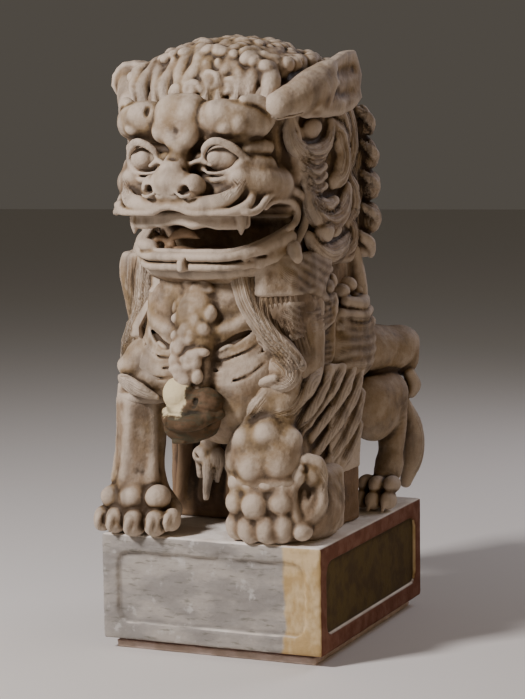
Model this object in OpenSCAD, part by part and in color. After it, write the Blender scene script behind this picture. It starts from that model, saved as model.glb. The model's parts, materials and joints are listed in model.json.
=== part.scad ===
// Guardian lion (foo dog) of carved sandstone, standing on its plinth and bed slab.
// Frame: origin at the centre of the underside, +Z up. The lion faces -Y, its left side is +X.
// The lion is a stack of stone blocks that meet on flat beds and are held by bronze dowels.

/* [Plinth] */
// Width of the plinth block, side to side
plinth_w = 600; // [580:5:640]
// Depth of the plinth block, front to back
plinth_d = 742; // [730:2:780]
// Height of the plinth block
plinth_h = 270; // [240:5:320]
// Depth of the sunk panel on each face of the plinth
panel_sink = 10; // [4:1:16]
// Plain margin left around each sunk panel
panel_margin = 44; // [30:2:60]

/* [Bed] */
// Thickness of the bed slab under the plinth
bed_h = 20; // [15:1:40]
// How far the bed slab stands in from the plinth's faces
bed_inset = 25; // [10:1:40]
// Thickness of the mortar joint between the bed slab and the plinth
mortar_h = 8; // [5:1:12]

/* [Lion] */
// Turn of the lion on its plinth, towards its own right
lion_turn = 6; // [0:1:8]
// Full width of the squared stone core of body, neck and head
core_w = 380; // [376:1:390]
// Height of the bed where body and legs meet, above the plinth
cuff_z = 335; // [330:1:340]
// Height of the bed under the chin and neck
chin_z = 660; // [655:1:665]
// Height of the mouth's roof
palate_z = 805; // [800:1:810]
// Height of the bed under the crown of curls
crown_z = 1120; // [1112:1:1126]
// Radius of each eyeball
eye_r = 40; // [36:1:42]
// Radius of the bell under the mask
bell_r = 80; // [76:1:82]
// Radius of the straight right foreleg
leg_r = 58; // [54:1:62]

/* [Dowels] */
// Radius of the dowels between large blocks
dowel_r = 12; // [8:1:16]
// Radius of the slim pins of ears, eyes, bell and tail
pin_r = 7; // [5:1:9]
// Width of the grout ring around every dowel
grout = 1; // [0.5:0.5:2]

/* [Hidden] */
$fn = 48;
SOFT = 20;                       // facets of the rounded lumps inside a hull
stone = "#9a8468";               // tan sandstone of the lion
stone_dark = "#6f5a42";          // shaded sandstone
plinth_grey = "#a09a90";
bed_pale = "#c8b8a8";
mortar_dark = "#4a4238";
bronze = "#7a5c30";
base_z = bed_h + mortar_h + plinth_h;      // top of the plinth
hw = core_w / 2;                           // side plane of the core
chest_y = -285;                            // front plane of the core
back_y = 50;                               // plane between core and back slab
slab_t = 110;                              // thickness of the back slab
croup_y = back_y + slab_t;                 // plane between back slab and hindquarters
wall_y0 = -110;                            // front of the belly wall
wall_t = 160;                              // thickness of the belly wall
hip_x = 150;                               // plane between rump and hind legs
rump_back = 352;                           // plane between rump and tail
head_front = -300;                         // front of the squared part of the head
neck_front = -170;                         // front of the throat behind the mouth
cub_z = 150;                               // bed between the cub and the paw on it
eye_at = [105, -362, 948];
bell_at = [8, -368, 327];
right_leg_at = [-200, -298];
ear_at = [hw, -255, 1060];
fit = 0.4;                                 // gap beside a round piece in its pocket

// Everything of the lion, in its own frame: z = 0 on the plinth, turned with the lion.
module on_plinth() translate([0, 0, base_z]) rotate(-lion_turn) children();

// A rounded lump through a list of [x, y, z, radius].
module lump(spots) hull() for (s = spots) translate([s[0], s[1], s[2]]) sphere(s[3], $fn = SOFT);

// A squared block between two corners.
module block(low, high) translate(low) cube(high - low);

// The same piece on the lion's other side.
module other_side() mirror([1, 0, 0]) children();

// A dowel or, with extra, the hole it stands in: centre of its lower end, direction, length, radius.
module rod(at, turn, length, r, extra = 0)
    translate(at) rotate(turn) translate([0, 0, -extra]) cylinder(h = length + 2 * extra, r = r + extra);

// Dowels as [lower end, turn, length].
feet_rods = [
    [[right_leg_at[0], right_leg_at[1], -60], [0, 0, 0], 120],
    [[190, -270, -60], [0, 0, 0], 120],
    [[-160, -60, -60], [0, 0, 0], 120],
    [[160, -60, -60], [0, 0, 0], 120],
    [[232, 225, -60], [0, 0, 0], 120],
    [[-232, 225, -60], [0, 0, 0], 120]
];
leg_rods = [
    [[right_leg_at[0], right_leg_at[1], cuff_z - 60], [0, 0, 0], 120],
    [[-100, -60, cuff_z - 60], [0, 0, 0], 120],
    [[100, -60, cuff_z - 60], [0, 0, 0], 120],
    [[hip_x - 60, 250, 360], [0, 90, 0], 120],
    [[-hip_x - 60, 250, 360], [0, 90, 0], 120],
    [[180, -260, cub_z - 60], [0, 0, 0], 120]
];
body_rods = [for (x = [-90, 90]) [[x, back_y - 50, 420], [-90, 0, 0], slab_t + 100]];
neck_rod = [0, -60, chin_z - 150];
jaw_rods = [for (x = [-100, 100]) [[x, -230, chin_z - 40], [0, 0, 0], 70]];
crown_rods = [for (x = [-100, 100]) [[x, -120, crown_z - 60], [0, 0, 0], 120]];
bell_rod = [bell_at[0], chest_y + 60, 350];
tail_rod = [15, rump_back - 50, 330];

module rods(list, r, extra = 0) for (d = list) rod(d[0], d[1], d[2], r, extra);

// ---- base ----

module bed_slab() color(bed_pale)
    block([bed_inset - plinth_w / 2, bed_inset - plinth_d / 2, 0],
          [plinth_w / 2 - bed_inset, plinth_d / 2 - bed_inset, bed_h]);

module bed_mortar() color(mortar_dark)
    block([bed_inset + 8 - plinth_w / 2, bed_inset + 8 - plinth_d / 2, bed_h],
          [plinth_w / 2 - bed_inset - 8, plinth_d / 2 - bed_inset - 8, bed_h + mortar_h]);

// Sunk panel with scooped corners, as a cutter lying on the face at y = 0, width w.
module sunk_panel(w) rotate([90, 0, 0]) translate([0, 0, -panel_sink]) linear_extrude(2 * panel_sink)
    difference() {
        pw = w - 2 * panel_margin;
        ph = plinth_h - 2 * panel_margin;
        square([pw, ph], center = true);
        for (x = [-1, 1], y = [-1, 1]) translate([x * pw / 2, y * ph / 2]) circle(26);
    }

module plinth_block() color(plinth_grey) difference() {
    block([-plinth_w / 2, -plinth_d / 2, bed_h + mortar_h], [plinth_w / 2, plinth_d / 2, base_z]);
    mid_z = bed_h + mortar_h + plinth_h / 2;
    for (turn = [0, 180]) {
        rotate(turn) translate([0, -plinth_d / 2, mid_z]) sunk_panel(plinth_w);
        rotate(turn + 90) translate([0, -plinth_w / 2, mid_z]) sunk_panel(plinth_d);
    }
    on_plinth() rods(feet_rods, dowel_r, grout);
}

// ---- body ----

module support_wall() color(stone_dark) on_plinth() difference() {
    block([-230, wall_y0, 0], [250, wall_y0 + wall_t, cuff_z]);
    rods(feet_rods, dowel_r, grout);
    rods(leg_rods, dowel_r, grout);
}

module torso_block() color(stone) on_plinth() difference() {
    translate([0, 0, cuff_z]) linear_extrude(chin_z - cuff_z)
        polygon([[-hw, back_y], [-hw, -205], [-140, chest_y], [140, chest_y], [hw, -205], [hw, back_y]]);
    rods(leg_rods, dowel_r, grout);
    rods(body_rods, dowel_r, grout);
    rod(neck_rod, [0, 0, 0], 300, dowel_r, grout);
    rods(jaw_rods, pin_r, grout);
    rod(bell_rod, [90, 0, 0], 110, pin_r, grout);
}

module back_slab() color(stone) on_plinth() difference() {
    union() {
        block([-hw, back_y, cuff_z], [hw, croup_y, 1000]);
        translate([0, croup_y - slab_t, 1000]) rotate([-90, 0, 0]) cylinder(h = slab_t, r = 120);
    }
    rods(body_rods, dowel_r, grout);
}

module hindquarters() color(stone) on_plinth() difference() {
    intersection() {
        lump([[-130, 170, 385, 100], [130, 170, 385, 100], [-120, 300, 330, 110], [120, 300, 330, 110],
              [-100, 290, 230, 90], [100, 290, 230, 90]]);
        block([-hip_x, croup_y, 100], [hip_x, rump_back, 600]);
    }
    rods(body_rods, dowel_r, grout);
    rods(leg_rods, dowel_r, grout);
    rod(tail_rod, [-90, 0, 0], 90, pin_r, grout);
}

// Haunch, hanging thigh, shank and paw, on the lion's left.
module hind_leg() difference() {
    union() {
        intersection() {
            lump([[170, 230, 395, 90], [185, 310, 350, 88], [195, 240, 260, 82], [210, 220, 200, 62]]);
            block([hip_x, croup_y + 1, 60], [400, 420, 600]);
        }
        lump([[225, 250, 200, 52], [240, 285, 110, 38], [238, 270, 50, 34]]);
        lump([[236, 250, 34, 34], [216, 175, 30, 30], [262, 175, 30, 30]]);
    }
    rods(leg_rods, dowel_r, grout);
    rods(feet_rods, dowel_r, grout);
    block([0, 0, -60], [400, 500, 0]);
}

module left_hind_leg() color(stone) on_plinth() hind_leg();

module right_hind_leg() color(stone) on_plinth() other_side() hind_leg();

module tail() color(stone) on_plinth() difference() {
    intersection() {
        union() {
            lump([[10, 360, 60, 34], [0, 362, 180, 40], [15, 358, 330, 46]]);
            lump([[15, 358, 330, 46], [60, 356, 405, 30], [20, 356, 450, 24]]);
            lump([[-25, 358, 240, 30], [-75, 356, 310, 22]]);
            lump([[30, 358, 180, 30], [85, 356, 260, 22]]);
        }
        block([-200, rump_back, 0], [200, 420, 500]);
    }
    rod(tail_rod, [-90, 0, 0], 90, pin_r, grout);
}

// ---- forelegs, cub and shoulders ----

module right_shoulder() color(stone) on_plinth() difference() {
    lump([[-205, -280, 400, 66], [-225, -200, 430, 62], [-150, -300, 380, 40]]);
    block([-400, -500, 200], [0, 0, cuff_z]);
    block([-hw, -205, 300], [hw, 100, 700]);
    translate([0, 0, 300]) linear_extrude(400)
        polygon([[-hw, -205], [-140, chest_y], [0, chest_y], [0, -205]]);
    block([-140, -400, 300], [100, chest_y, 700]);
    rods(leg_rods, dowel_r, grout);
}

// Four toes of a fore paw, each a knuckle and a tip: angles around the paw, at height z.
module toes(r, z) for (a = [205, 240, 275, 310]) {
    translate([cos(a) * 66, sin(a) * 66, z + 78]) sphere(0.9 * r);
    translate([cos(a) * 80, sin(a) * 80, z + 36]) sphere(r);
}

module right_foreleg() color(stone) on_plinth() difference() {
    translate([right_leg_at[0], right_leg_at[1], 0]) {
        cylinder(h = cuff_z, r = leg_r);
        translate([0, 0, cuff_z - 18]) cylinder(h = 18, r = leg_r + 8);
        cylinder(h = 60, r = 84);
        toes(30, 0);
    }
    rods(leg_rods, dowel_r, grout);
    rods(feet_rods, dowel_r, grout);
    block([-500, -500, -100], [0, 0, 0]);
}

module left_foreleg() color(stone) on_plinth() difference() {
    union() {
        lump([[225, -190, 385, 62], [218, -250, 300, 62], [200, -190, 300, 60]]);
        lump([[200, -260, 260, 64], [178, -290, 205, 58]]);
        for (i = [0:2]) lump([[226 + 12 * i, -240 + 45 * i, 385, 22], [205 + 22 * i, -318 + 62 * i, 250, 16]]);
        translate([176, -292, 110]) toes(30, 34);
    }
    block([-100, -500, 0], [400, 0, cub_z]);
    block([-100, -500, cuff_z], [hw, 100, 700]);
    block([-300, wall_y0, 0], [250, wall_y0 + wall_t, cuff_z]);
    rods(leg_rods, dowel_r, grout);
}

module cub() color(stone) on_plinth() difference() {
    union() {
        lump([[250, -200, 62, 56], [262, -300, 60, 46], [200, -180, 60, 55]]);
        lump([[150, -300, 80, 52], [200, -300, 80, 56], [175, -260, 100, 48]]);
        for (x = [130, 172, 214], z = [32, 96]) translate([x, -340, z]) sphere(30);
    }
    block([0, -500, -100], [400, 0, 0]);
    block([0, -500, cub_z], [400, 0, 300]);
    block([-300, wall_y0, 0], [250, wall_y0 + wall_t, cuff_z]);
    rods(feet_rods, dowel_r, grout);
    rods(leg_rods, dowel_r, grout);
}

module shoulder_flaps() intersection() {
    union() for (i = [0:2]) lump([[200 + 8 * i, -185, 615 - 85 * i, 34], [222, -110, 600 - 80 * i, 38],
                                  [205, -40, 612 - 80 * i, 30]]);
    block([hw, -205, cuff_z + 45], [300, -10, chin_z]);
}

module left_shoulder_flaps() color(stone) on_plinth() shoulder_flaps();

module right_shoulder_flaps() color(stone) on_plinth() other_side() shoulder_flaps();

// Barrel-shaped lock of stacked curls behind the shoulder.
module shoulder_lock() intersection() {
    union() for (i = [0:4]) translate([hw + 8, 75, 382 + 46 * i]) cylinder(h = 40, r1 = 52, r2 = 60);
    block([hw, -9, cuff_z], [300, croup_y, chin_z]);
}

module left_shoulder_lock() color(stone) on_plinth() shoulder_lock();

module right_shoulder_lock() color(stone) on_plinth() other_side() shoulder_lock();

// ---- chest ----

module chest_mask() color(stone) on_plinth() difference() {
    translate([0, 0, cuff_z + 45]) linear_extrude(245)
        polygon([[-140, chest_y], [-140, -318], [-90, -345], [90, -345], [140, -318], [140, chest_y]]);
    translate(bell_at) sphere(bell_r + fit);
    rod(bell_rod, [90, 0, 0], 110, pin_r, grout);
}

module bell() color(stone) on_plinth() difference() {
    translate(bell_at) sphere(bell_r);
    block(bell_at + [-60, -100, -8], bell_at + [60, -55, 8]);
    block([-200, chest_y - fit, 0], [200, 0, 700]);
    rod(bell_rod, [90, 0, 0], 110, pin_r, grout);
}

module bell_tassel() color(stone) on_plinth() {
    translate([0, -240, 200]) cylinder(h = cuff_z - 200, r = 15);
    translate([0, -240, 190]) sphere(26);
    translate([0, -240, 84]) cylinder(h = 106, r1 = 12, r2 = 22);
}

// Beard ribbon with a scrolled foot, wrapped round the chest's front corner.
module drape() {
    translate([0, 0, 400]) linear_extrude(chin_z - 400)
        polygon([[141, chest_y], [141, -346], [170, -346], [232, -262], [232, -206], [hw, -206],
                 [hw, -205], [141, chest_y]]);
    translate([200, -285, 400]) rotate([90, 0, -53]) cylinder(h = 26, r = 24, center = true);
}

module left_drape() color(stone) on_plinth() difference() {
    drape();
    block([0, -500, 0], [400, -100, 380]);
    lump([[225, -190, 385, 62.5], [218, -250, 300, 62.5], [200, -190, 300, 60.5]]);
}

module right_drape() color(stone) on_plinth() difference() {
    other_side() drape();
    lump([[-205, -280, 400, 66.5], [-225, -200, 430, 62.5], [-150, -300, 380, 40.5]]);
}

// ---- head ----

module lower_jaw() color(stone) on_plinth() difference() {
    translate([0, 0, chin_z]) linear_extrude(78) polygon([[-175, neck_front], [-188, -300],
        [-130, -385], [-50, -415], [50, -415], [130, -385], [188, -300], [175, neck_front]]);
    translate([0, 0, chin_z + 40]) linear_extrude(60) polygon([[-145, neck_front + 10], [-155, -300],
        [-105, -360], [-45, -385], [45, -385], [105, -360], [155, -300], [145, neck_front + 10]]);
    rods(jaw_rods, pin_r, grout);
}

module tongue() color(stone) on_plinth() difference() {
    lump([[0, -200, chin_z + 44, 34], [0, -330, chin_z + 54, 30], [-30, -350, chin_z + 62, 20]]);
    block([-100, -500, 600], [100, 0, chin_z + 40]);
    rods(jaw_rods, pin_r, grout);
}

module head_block() color(stone) on_plinth() difference() {
    union() {
        intersection() {
            lump([[-140, -235, 1060, 90], [140, -235, 1060, 90], [-130, -40, 1060, 100],
                  [130, -40, 1060, 100], [-120, -230, 880, 110], [120, -230, 880, 110],
                  [-120, -40, 860, 110], [120, -40, 860, 110]]);
            block([-hw, head_front - 40, palate_z], [hw, back_y, crown_z]);
        }
        block([-hw, neck_front, chin_z], [hw, back_y, palate_z + 10]);
        lump([[-85, -345, 870, 64], [85, -345, 870, 64], [-60, -392, 868, 58], [60, -392, 868, 58],
              [-95, -300, 900, 90], [95, -300, 900, 90]]);
        lump([[-165, -300, 1045, 55], [0, -350, 1050, 55], [165, -300, 1045, 55]]);
    }
    block([-300, -500, 600], [300, neck_front, palate_z]);
    block([-300, -600, crown_z], [300, 100, 1400]);
    for (side = [-1, 1]) translate([side * eye_at[0], eye_at[1], eye_at[2]]) sphere(eye_r + fit);
    rod(neck_rod, [0, 0, 0], 300, dowel_r, grout);
    rods(crown_rods, dowel_r, grout);
    ear_rods(pin_r, grout);
}

module upper_teeth() color(stone) on_plinth() {
    translate([0, 0, palate_z - 34]) linear_extrude(34) difference() {
        polygon([[-150, -190], [-155, -300], [-110, -370], [-45, -400], [45, -400], [110, -370],
                 [155, -300], [150, -190]]);
        polygon([[-122, -180], [-125, -295], [-90, -345], [-40, -368], [40, -368], [90, -345],
                 [125, -295], [122, -180]]);
    }
    for (x = [-112, 112]) translate([x, -346, palate_z - 66]) cylinder(h = 34, r1 = 3, r2 = 12);
}

module eye_ball() translate(eye_at) sphere(eye_r);

module left_eye() color(stone) on_plinth() eye_ball();

module right_eye() color(stone) on_plinth() other_side() eye_ball();

module crown_curls() color(stone) on_plinth() difference() {
    lump([[-125, -240, 1118, 92], [125, -240, 1118, 92], [-125, -20, 1120, 92], [125, -20, 1120, 92],
          [-60, -180, 1160, 92], [60, -180, 1160, 92], [0, -70, 1166, 90]]);
    block([-400, -500, 900], [400, 300, crown_z]);
    rods(crown_rods, dowel_r, grout);
}

module ear_rods(r, extra = 0) for (side = [0, 1]) mirror([side, 0, 0])
    rod(ear_at - [45, 0, 0], [0, 90, 0], 80, r, extra);

module ear() difference() {
    union() {
        translate(ear_at) rotate([0, 90, 0]) cylinder(h = 45, r = 38);
        lump([[236, -268, 1064, 38], [252, -200, 1108, 36], [264, -150, 1140, 38]]);
        lump([[264, -150, 1140, 38], [286, -80, 1198, 12], [284, -45, 1150, 12], [270, -70, 1090, 22]]);
    }
    block([0, -400, 900], [hw, 100, 1300]);
    rod(ear_at - [45, 0, 0], [0, 90, 0], 80, pin_r, grout);
    lump([[125, -240, 1118, 92.4], [125, -20, 1120, 92.4], [60, -180, 1160, 92.4]]);
}

module left_ear() color(stone) on_plinth() ear();

module right_ear() color(stone) on_plinth() other_side() ear();

// Crescent locks of the mane, stacked behind the cheek.
module mane() difference() {
    union() {
        for (i = [0:4]) lump([[205, -135 + 6 * i, 985 - 68 * i, 30], [226, -60, 955 - 66 * i, 36],
                              [215, 70, 985 - 66 * i, 40]]);
        lump([[205, 20, 1050, 52], [205, 105, 960, 52], [205, 110, 760, 50], [205, 60, 700, 40]]);
    }
    block([-100, -300, 500], [hw, 300, 1300]);
    block([100, -300, 500], [400, 300, chin_z]);
    lump([[125, -240, 1118, 92.4], [125, -20, 1120, 92.4], [60, -180, 1160, 92.4]]);
}

module left_mane() color(stone) on_plinth() mane();

module right_mane() color(stone) on_plinth() other_side() mane();

// ---- dowels ----

module plinth_dowels() color(bronze) on_plinth() rods(feet_rods, dowel_r);

module leg_dowels() color(bronze) on_plinth() rods(leg_rods, dowel_r);

module body_dowels() color(bronze) on_plinth() rods(body_rods, dowel_r);

module neck_dowel() color(bronze) on_plinth() rod(neck_rod, [0, 0, 0], 300, dowel_r);

module jaw_dowels() color(bronze) on_plinth() rods(jaw_rods, pin_r);

module crown_dowels() color(bronze) on_plinth() rods(crown_rods, dowel_r);

module ear_pins() color(bronze) on_plinth() ear_rods(pin_r);

module bell_pin() color(bronze) on_plinth() rod(bell_rod, [90, 0, 0], 110, pin_r);

module tail_pin() color(bronze) on_plinth() rod(tail_rod, [-90, 0, 0], 90, pin_r);

bed_slab();
bed_mortar();
plinth_block();
support_wall();
torso_block();
back_slab();
hindquarters();
left_hind_leg();
right_hind_leg();
tail();
right_shoulder();
right_foreleg();
left_foreleg();
cub();
chest_mask();
bell();
bell_tassel();
left_drape();
right_drape();
left_shoulder_flaps();
right_shoulder_flaps();
left_shoulder_lock();
right_shoulder_lock();
lower_jaw();
tongue();
head_block();
upper_teeth();
left_eye();
right_eye();
crown_curls();
left_ear();
right_ear();
left_mane();
right_mane();
plinth_dowels();
leg_dowels();
body_dowels();
neck_dowel();
jaw_dowels();
crown_dowels();
ear_pins();
bell_pin();
tail_pin();
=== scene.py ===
"""A carved sandstone guardian lion on its panelled plinth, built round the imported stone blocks.

Every piece is sculpted the way a carver works: a rough mass of clay is built up and cut back as a
field of distances on a grid, skinned with quads, then combed with hair lines and weathered.
Lengths in the sculpting functions are millimetres in the lion's own frame: x to the lion's left,
y to its back, z up from the plinth's top.  The last step turns them into metres in the frame.
"""
import json
import math

import bpy
import numpy as np
from mathutils import Matrix, Vector

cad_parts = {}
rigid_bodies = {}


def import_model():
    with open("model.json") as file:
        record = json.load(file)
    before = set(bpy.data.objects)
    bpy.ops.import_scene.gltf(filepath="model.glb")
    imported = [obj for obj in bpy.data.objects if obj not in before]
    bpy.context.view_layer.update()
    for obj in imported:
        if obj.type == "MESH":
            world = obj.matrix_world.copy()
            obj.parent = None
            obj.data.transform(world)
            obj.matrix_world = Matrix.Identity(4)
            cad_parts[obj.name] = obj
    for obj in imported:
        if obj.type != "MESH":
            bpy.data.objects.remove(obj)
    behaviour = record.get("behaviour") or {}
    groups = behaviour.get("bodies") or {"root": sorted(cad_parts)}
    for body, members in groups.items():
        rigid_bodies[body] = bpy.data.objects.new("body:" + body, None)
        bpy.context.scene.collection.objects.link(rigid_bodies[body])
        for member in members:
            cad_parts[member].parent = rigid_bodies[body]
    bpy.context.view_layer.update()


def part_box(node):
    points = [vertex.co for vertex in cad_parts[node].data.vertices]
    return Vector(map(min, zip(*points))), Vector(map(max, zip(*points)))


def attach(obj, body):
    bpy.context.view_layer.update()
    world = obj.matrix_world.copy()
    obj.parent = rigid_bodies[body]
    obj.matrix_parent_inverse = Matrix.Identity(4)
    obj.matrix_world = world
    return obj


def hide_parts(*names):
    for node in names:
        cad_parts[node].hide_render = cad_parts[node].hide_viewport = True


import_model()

MM = 0.001
LION_TURN = math.radians(-6)                 # the lion stands turned on its plinth
BASE_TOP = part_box("plinth_block")[1][2]      # height of the plinth's top, metres
STEP = 3.9            # grid spacing of the clay, mm
FINE = 3.0            # grid spacing for small pieces, mm
FAR = 60.0                                   # distance stored where nothing is near, mm


# ---------------------------------------------------------------- forms: distance functions

class Form:
    """A solid given by a distance function of x, y, z and the box that it fills."""

    def __init__(self, distance, low, high):
        self.distance = distance
        self.low = np.asarray(low, float)
        self.high = np.asarray(high, float)

    def mirrored(self):
        """The same solid on the lion's other side: x becomes -x."""
        low, high = self.low.copy(), self.high.copy()
        low[0], high[0] = -self.high[0], -self.low[0]
        return Form(lambda x, y, z: self.distance(-x, y, z), low, high)


def turned(angles):
    """Rotation matrix from degrees about x, then y, then z."""
    ax, ay, az = np.radians(angles)
    rx = np.array([[1, 0, 0], [0, np.cos(ax), -np.sin(ax)], [0, np.sin(ax), np.cos(ax)]])
    ry = np.array([[np.cos(ay), 0, np.sin(ay)], [0, 1, 0], [-np.sin(ay), 0, np.cos(ay)]])
    rz = np.array([[np.cos(az), -np.sin(az), 0], [np.sin(az), np.cos(az), 0], [0, 0, 1]])
    return rz @ ry @ rx


def egg(at, radii, angles=(0, 0, 0)):
    """Ellipsoid: distance k(k - 1) / |p / r^2| with k = |p / r|, p turned into its own axes."""
    at = np.asarray(at, float)
    r = np.asarray(radii if np.ndim(radii) else (radii,) * 3, float)
    m = turned(angles)

    def distance(x, y, z):
        dx, dy, dz = x - at[0], y - at[1], z - at[2]
        p = [m[0, i] * dx + m[1, i] * dy + m[2, i] * dz for i in range(3)]
        k = np.sqrt((p[0] / r[0]) ** 2 + (p[1] / r[1]) ** 2 + (p[2] / r[2]) ** 2) + 1e-6
        g = np.sqrt((p[0] / r[0] ** 2) ** 2 + (p[1] / r[1] ** 2) ** 2 + (p[2] / r[2] ** 2) ** 2) + 1e-6
        return k * (k - 1) / g

    reach = np.abs(m) @ r
    return Form(distance, at - reach, at + reach)


def block(low, high, soft=4.0, angles=(0, 0, 0)):
    """Box with rounded edges of radius soft, turned about its centre."""
    low, high = np.asarray(low, float), np.asarray(high, float)
    at, half = (low + high) / 2, (high - low) / 2 - soft
    m = turned(angles)

    def distance(x, y, z):
        dx, dy, dz = x - at[0], y - at[1], z - at[2]
        q = [np.abs(m[0, i] * dx + m[1, i] * dy + m[2, i] * dz) - half[i] for i in range(3)]
        outer = np.sqrt(sum(np.maximum(c, 0) ** 2 for c in q))
        inner = np.minimum(np.maximum(np.maximum(q[0], q[1]), q[2]), 0)
        return outer + inner - soft

    reach = np.abs(m) @ (half + soft)
    return Form(distance, at - reach, at + reach)


def smooth_path(points, per=6, closed=False):
    """Catmull-Rom curve through the points: per steps between each two, any number of columns."""
    p = np.asarray(points, float)
    if len(p) < 3:
        t = np.linspace(0, 1, per + 1)[:, None]
        return p[0] * (1 - t) + p[-1] * t
    if closed:
        p = np.vstack([p[-1], p, p[0], p[1]])
    else:
        p = np.vstack([2 * p[0] - p[1], p, 2 * p[-1] - p[-2]])
    t = np.linspace(0, 1, per, endpoint=False)[:, None]
    out = [0.5 * (2 * b + (c - a) * t + (2 * a - 5 * b + 4 * c - d) * t ** 2
                  + (3 * b - a - 3 * c + d) * t ** 3)
           for a, b, c, d in zip(p[:-3], p[1:-2], p[2:-1], p[3:])]
    return np.vstack(out + [p[-2][None]])


def strand(points, radii, per=5, flat=None):
    """A rounded rod along a smooth path; radii follow the points.

    flat = (direction, factor) squeezes the rod's section along a direction.
    """
    pts = np.asarray(points, float)
    r = np.broadcast_to(np.asarray(radii, float), (len(pts),))
    path = smooth_path(np.column_stack([pts, r]), per)
    squeeze = np.eye(3)
    factor = 1.0
    if flat is not None:
        n = np.asarray(flat[0], float)
        n /= np.linalg.norm(n)
        factor = flat[1]
        squeeze = np.eye(3) + (1 / factor - 1) * np.outer(n, n)
    centre = path[:, :3] @ squeeze.T
    rad = path[:, 3]

    def distance(x, y, z):
        p = [squeeze[i, 0] * x + squeeze[i, 1] * y + squeeze[i, 2] * z for i in range(3)]
        best = None
        for a, b, ra, rb in zip(centre[:-1], centre[1:], rad[:-1], rad[1:]):
            ab = b - a
            d = [p[i] - a[i] for i in range(3)]
            t = np.clip((d[0] * ab[0] + d[1] * ab[1] + d[2] * ab[2]) / (ab @ ab + 1e-9), 0, 1)
            gap = np.sqrt(sum((d[i] - t * ab[i]) ** 2 for i in range(3))) - (ra + t * (rb - ra))
            best = gap if best is None else np.minimum(best, gap)
        return best * (0.5 + 0.5 * factor)

    low = (path[:, :3] - path[:, 3:]).min(0)
    high = (path[:, :3] + path[:, 3:]).max(0)
    return Form(distance, low, high)


def prism(outline, low, high, axis=2, soft=3.0):
    """A straight prism: outline is a list of 2-D corners, drawn across the given axis."""
    pts = np.asarray(outline, float)
    others = [i for i in range(3) if i != axis]
    mid, half = (low + high) / 2, (high - low) / 2

    def distance(x, y, z):
        xyz = (x, y, z)
        u, v, w = xyz[others[0]], xyz[others[1]], xyz[axis]
        near, inside = None, None
        for (ax, ay), (bx, by) in zip(pts, np.roll(pts, -1, 0)):
            ex, ey = bx - ax, by - ay
            t = np.clip(((u - ax) * ex + (v - ay) * ey) / (ex * ex + ey * ey), 0, 1)
            gap = (u - ax - t * ex) ** 2 + (v - ay - t * ey) ** 2
            near = gap if near is None else np.minimum(near, gap)
            cross = ((ay > v) != (by > v)) & (u < ex * (v - ay) / (ey if ey else 1e-9) + ax)
            inside = cross if inside is None else inside ^ cross
        flat = np.sqrt(near) * np.where(inside, -1, 1) + soft
        tall = np.abs(w - mid) - half + soft
        return np.sqrt(np.maximum(flat, 0) ** 2 + np.maximum(tall, 0) ** 2) \
            + np.minimum(np.maximum(flat, tall), 0) - soft

    lo, hi = np.zeros(3), np.zeros(3)
    lo[others], hi[others] = pts.min(0), pts.max(0)
    lo[axis], hi[axis] = low, high
    return Form(distance, lo, hi)


def leaf(base, outline, thick, low=-400, high=400, axis=0, soft=6):
    """A leaf laid on a base: the base grown by thick, kept where the outline is."""
    frame_cut = prism(outline, low, high, axis, soft)
    return Form(lambda x, y, z: -soft_min(thick - base.distance(x, y, z), -frame_cut.distance(x, y, z), 8),
                np.maximum(base.low - thick, frame_cut.low), np.minimum(base.high + thick, frame_cut.high))


# ---------------------------------------------------------------- clay: a grid of distances

def soft_min(a, b, blend):
    """The smaller of two distances, with a fillet about blend wide where they meet."""
    if blend <= 0:
        return np.minimum(a, b)
    h = np.maximum(blend - np.abs(a - b), 0) / blend
    return np.minimum(a, b) - h * h * blend / 4


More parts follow.
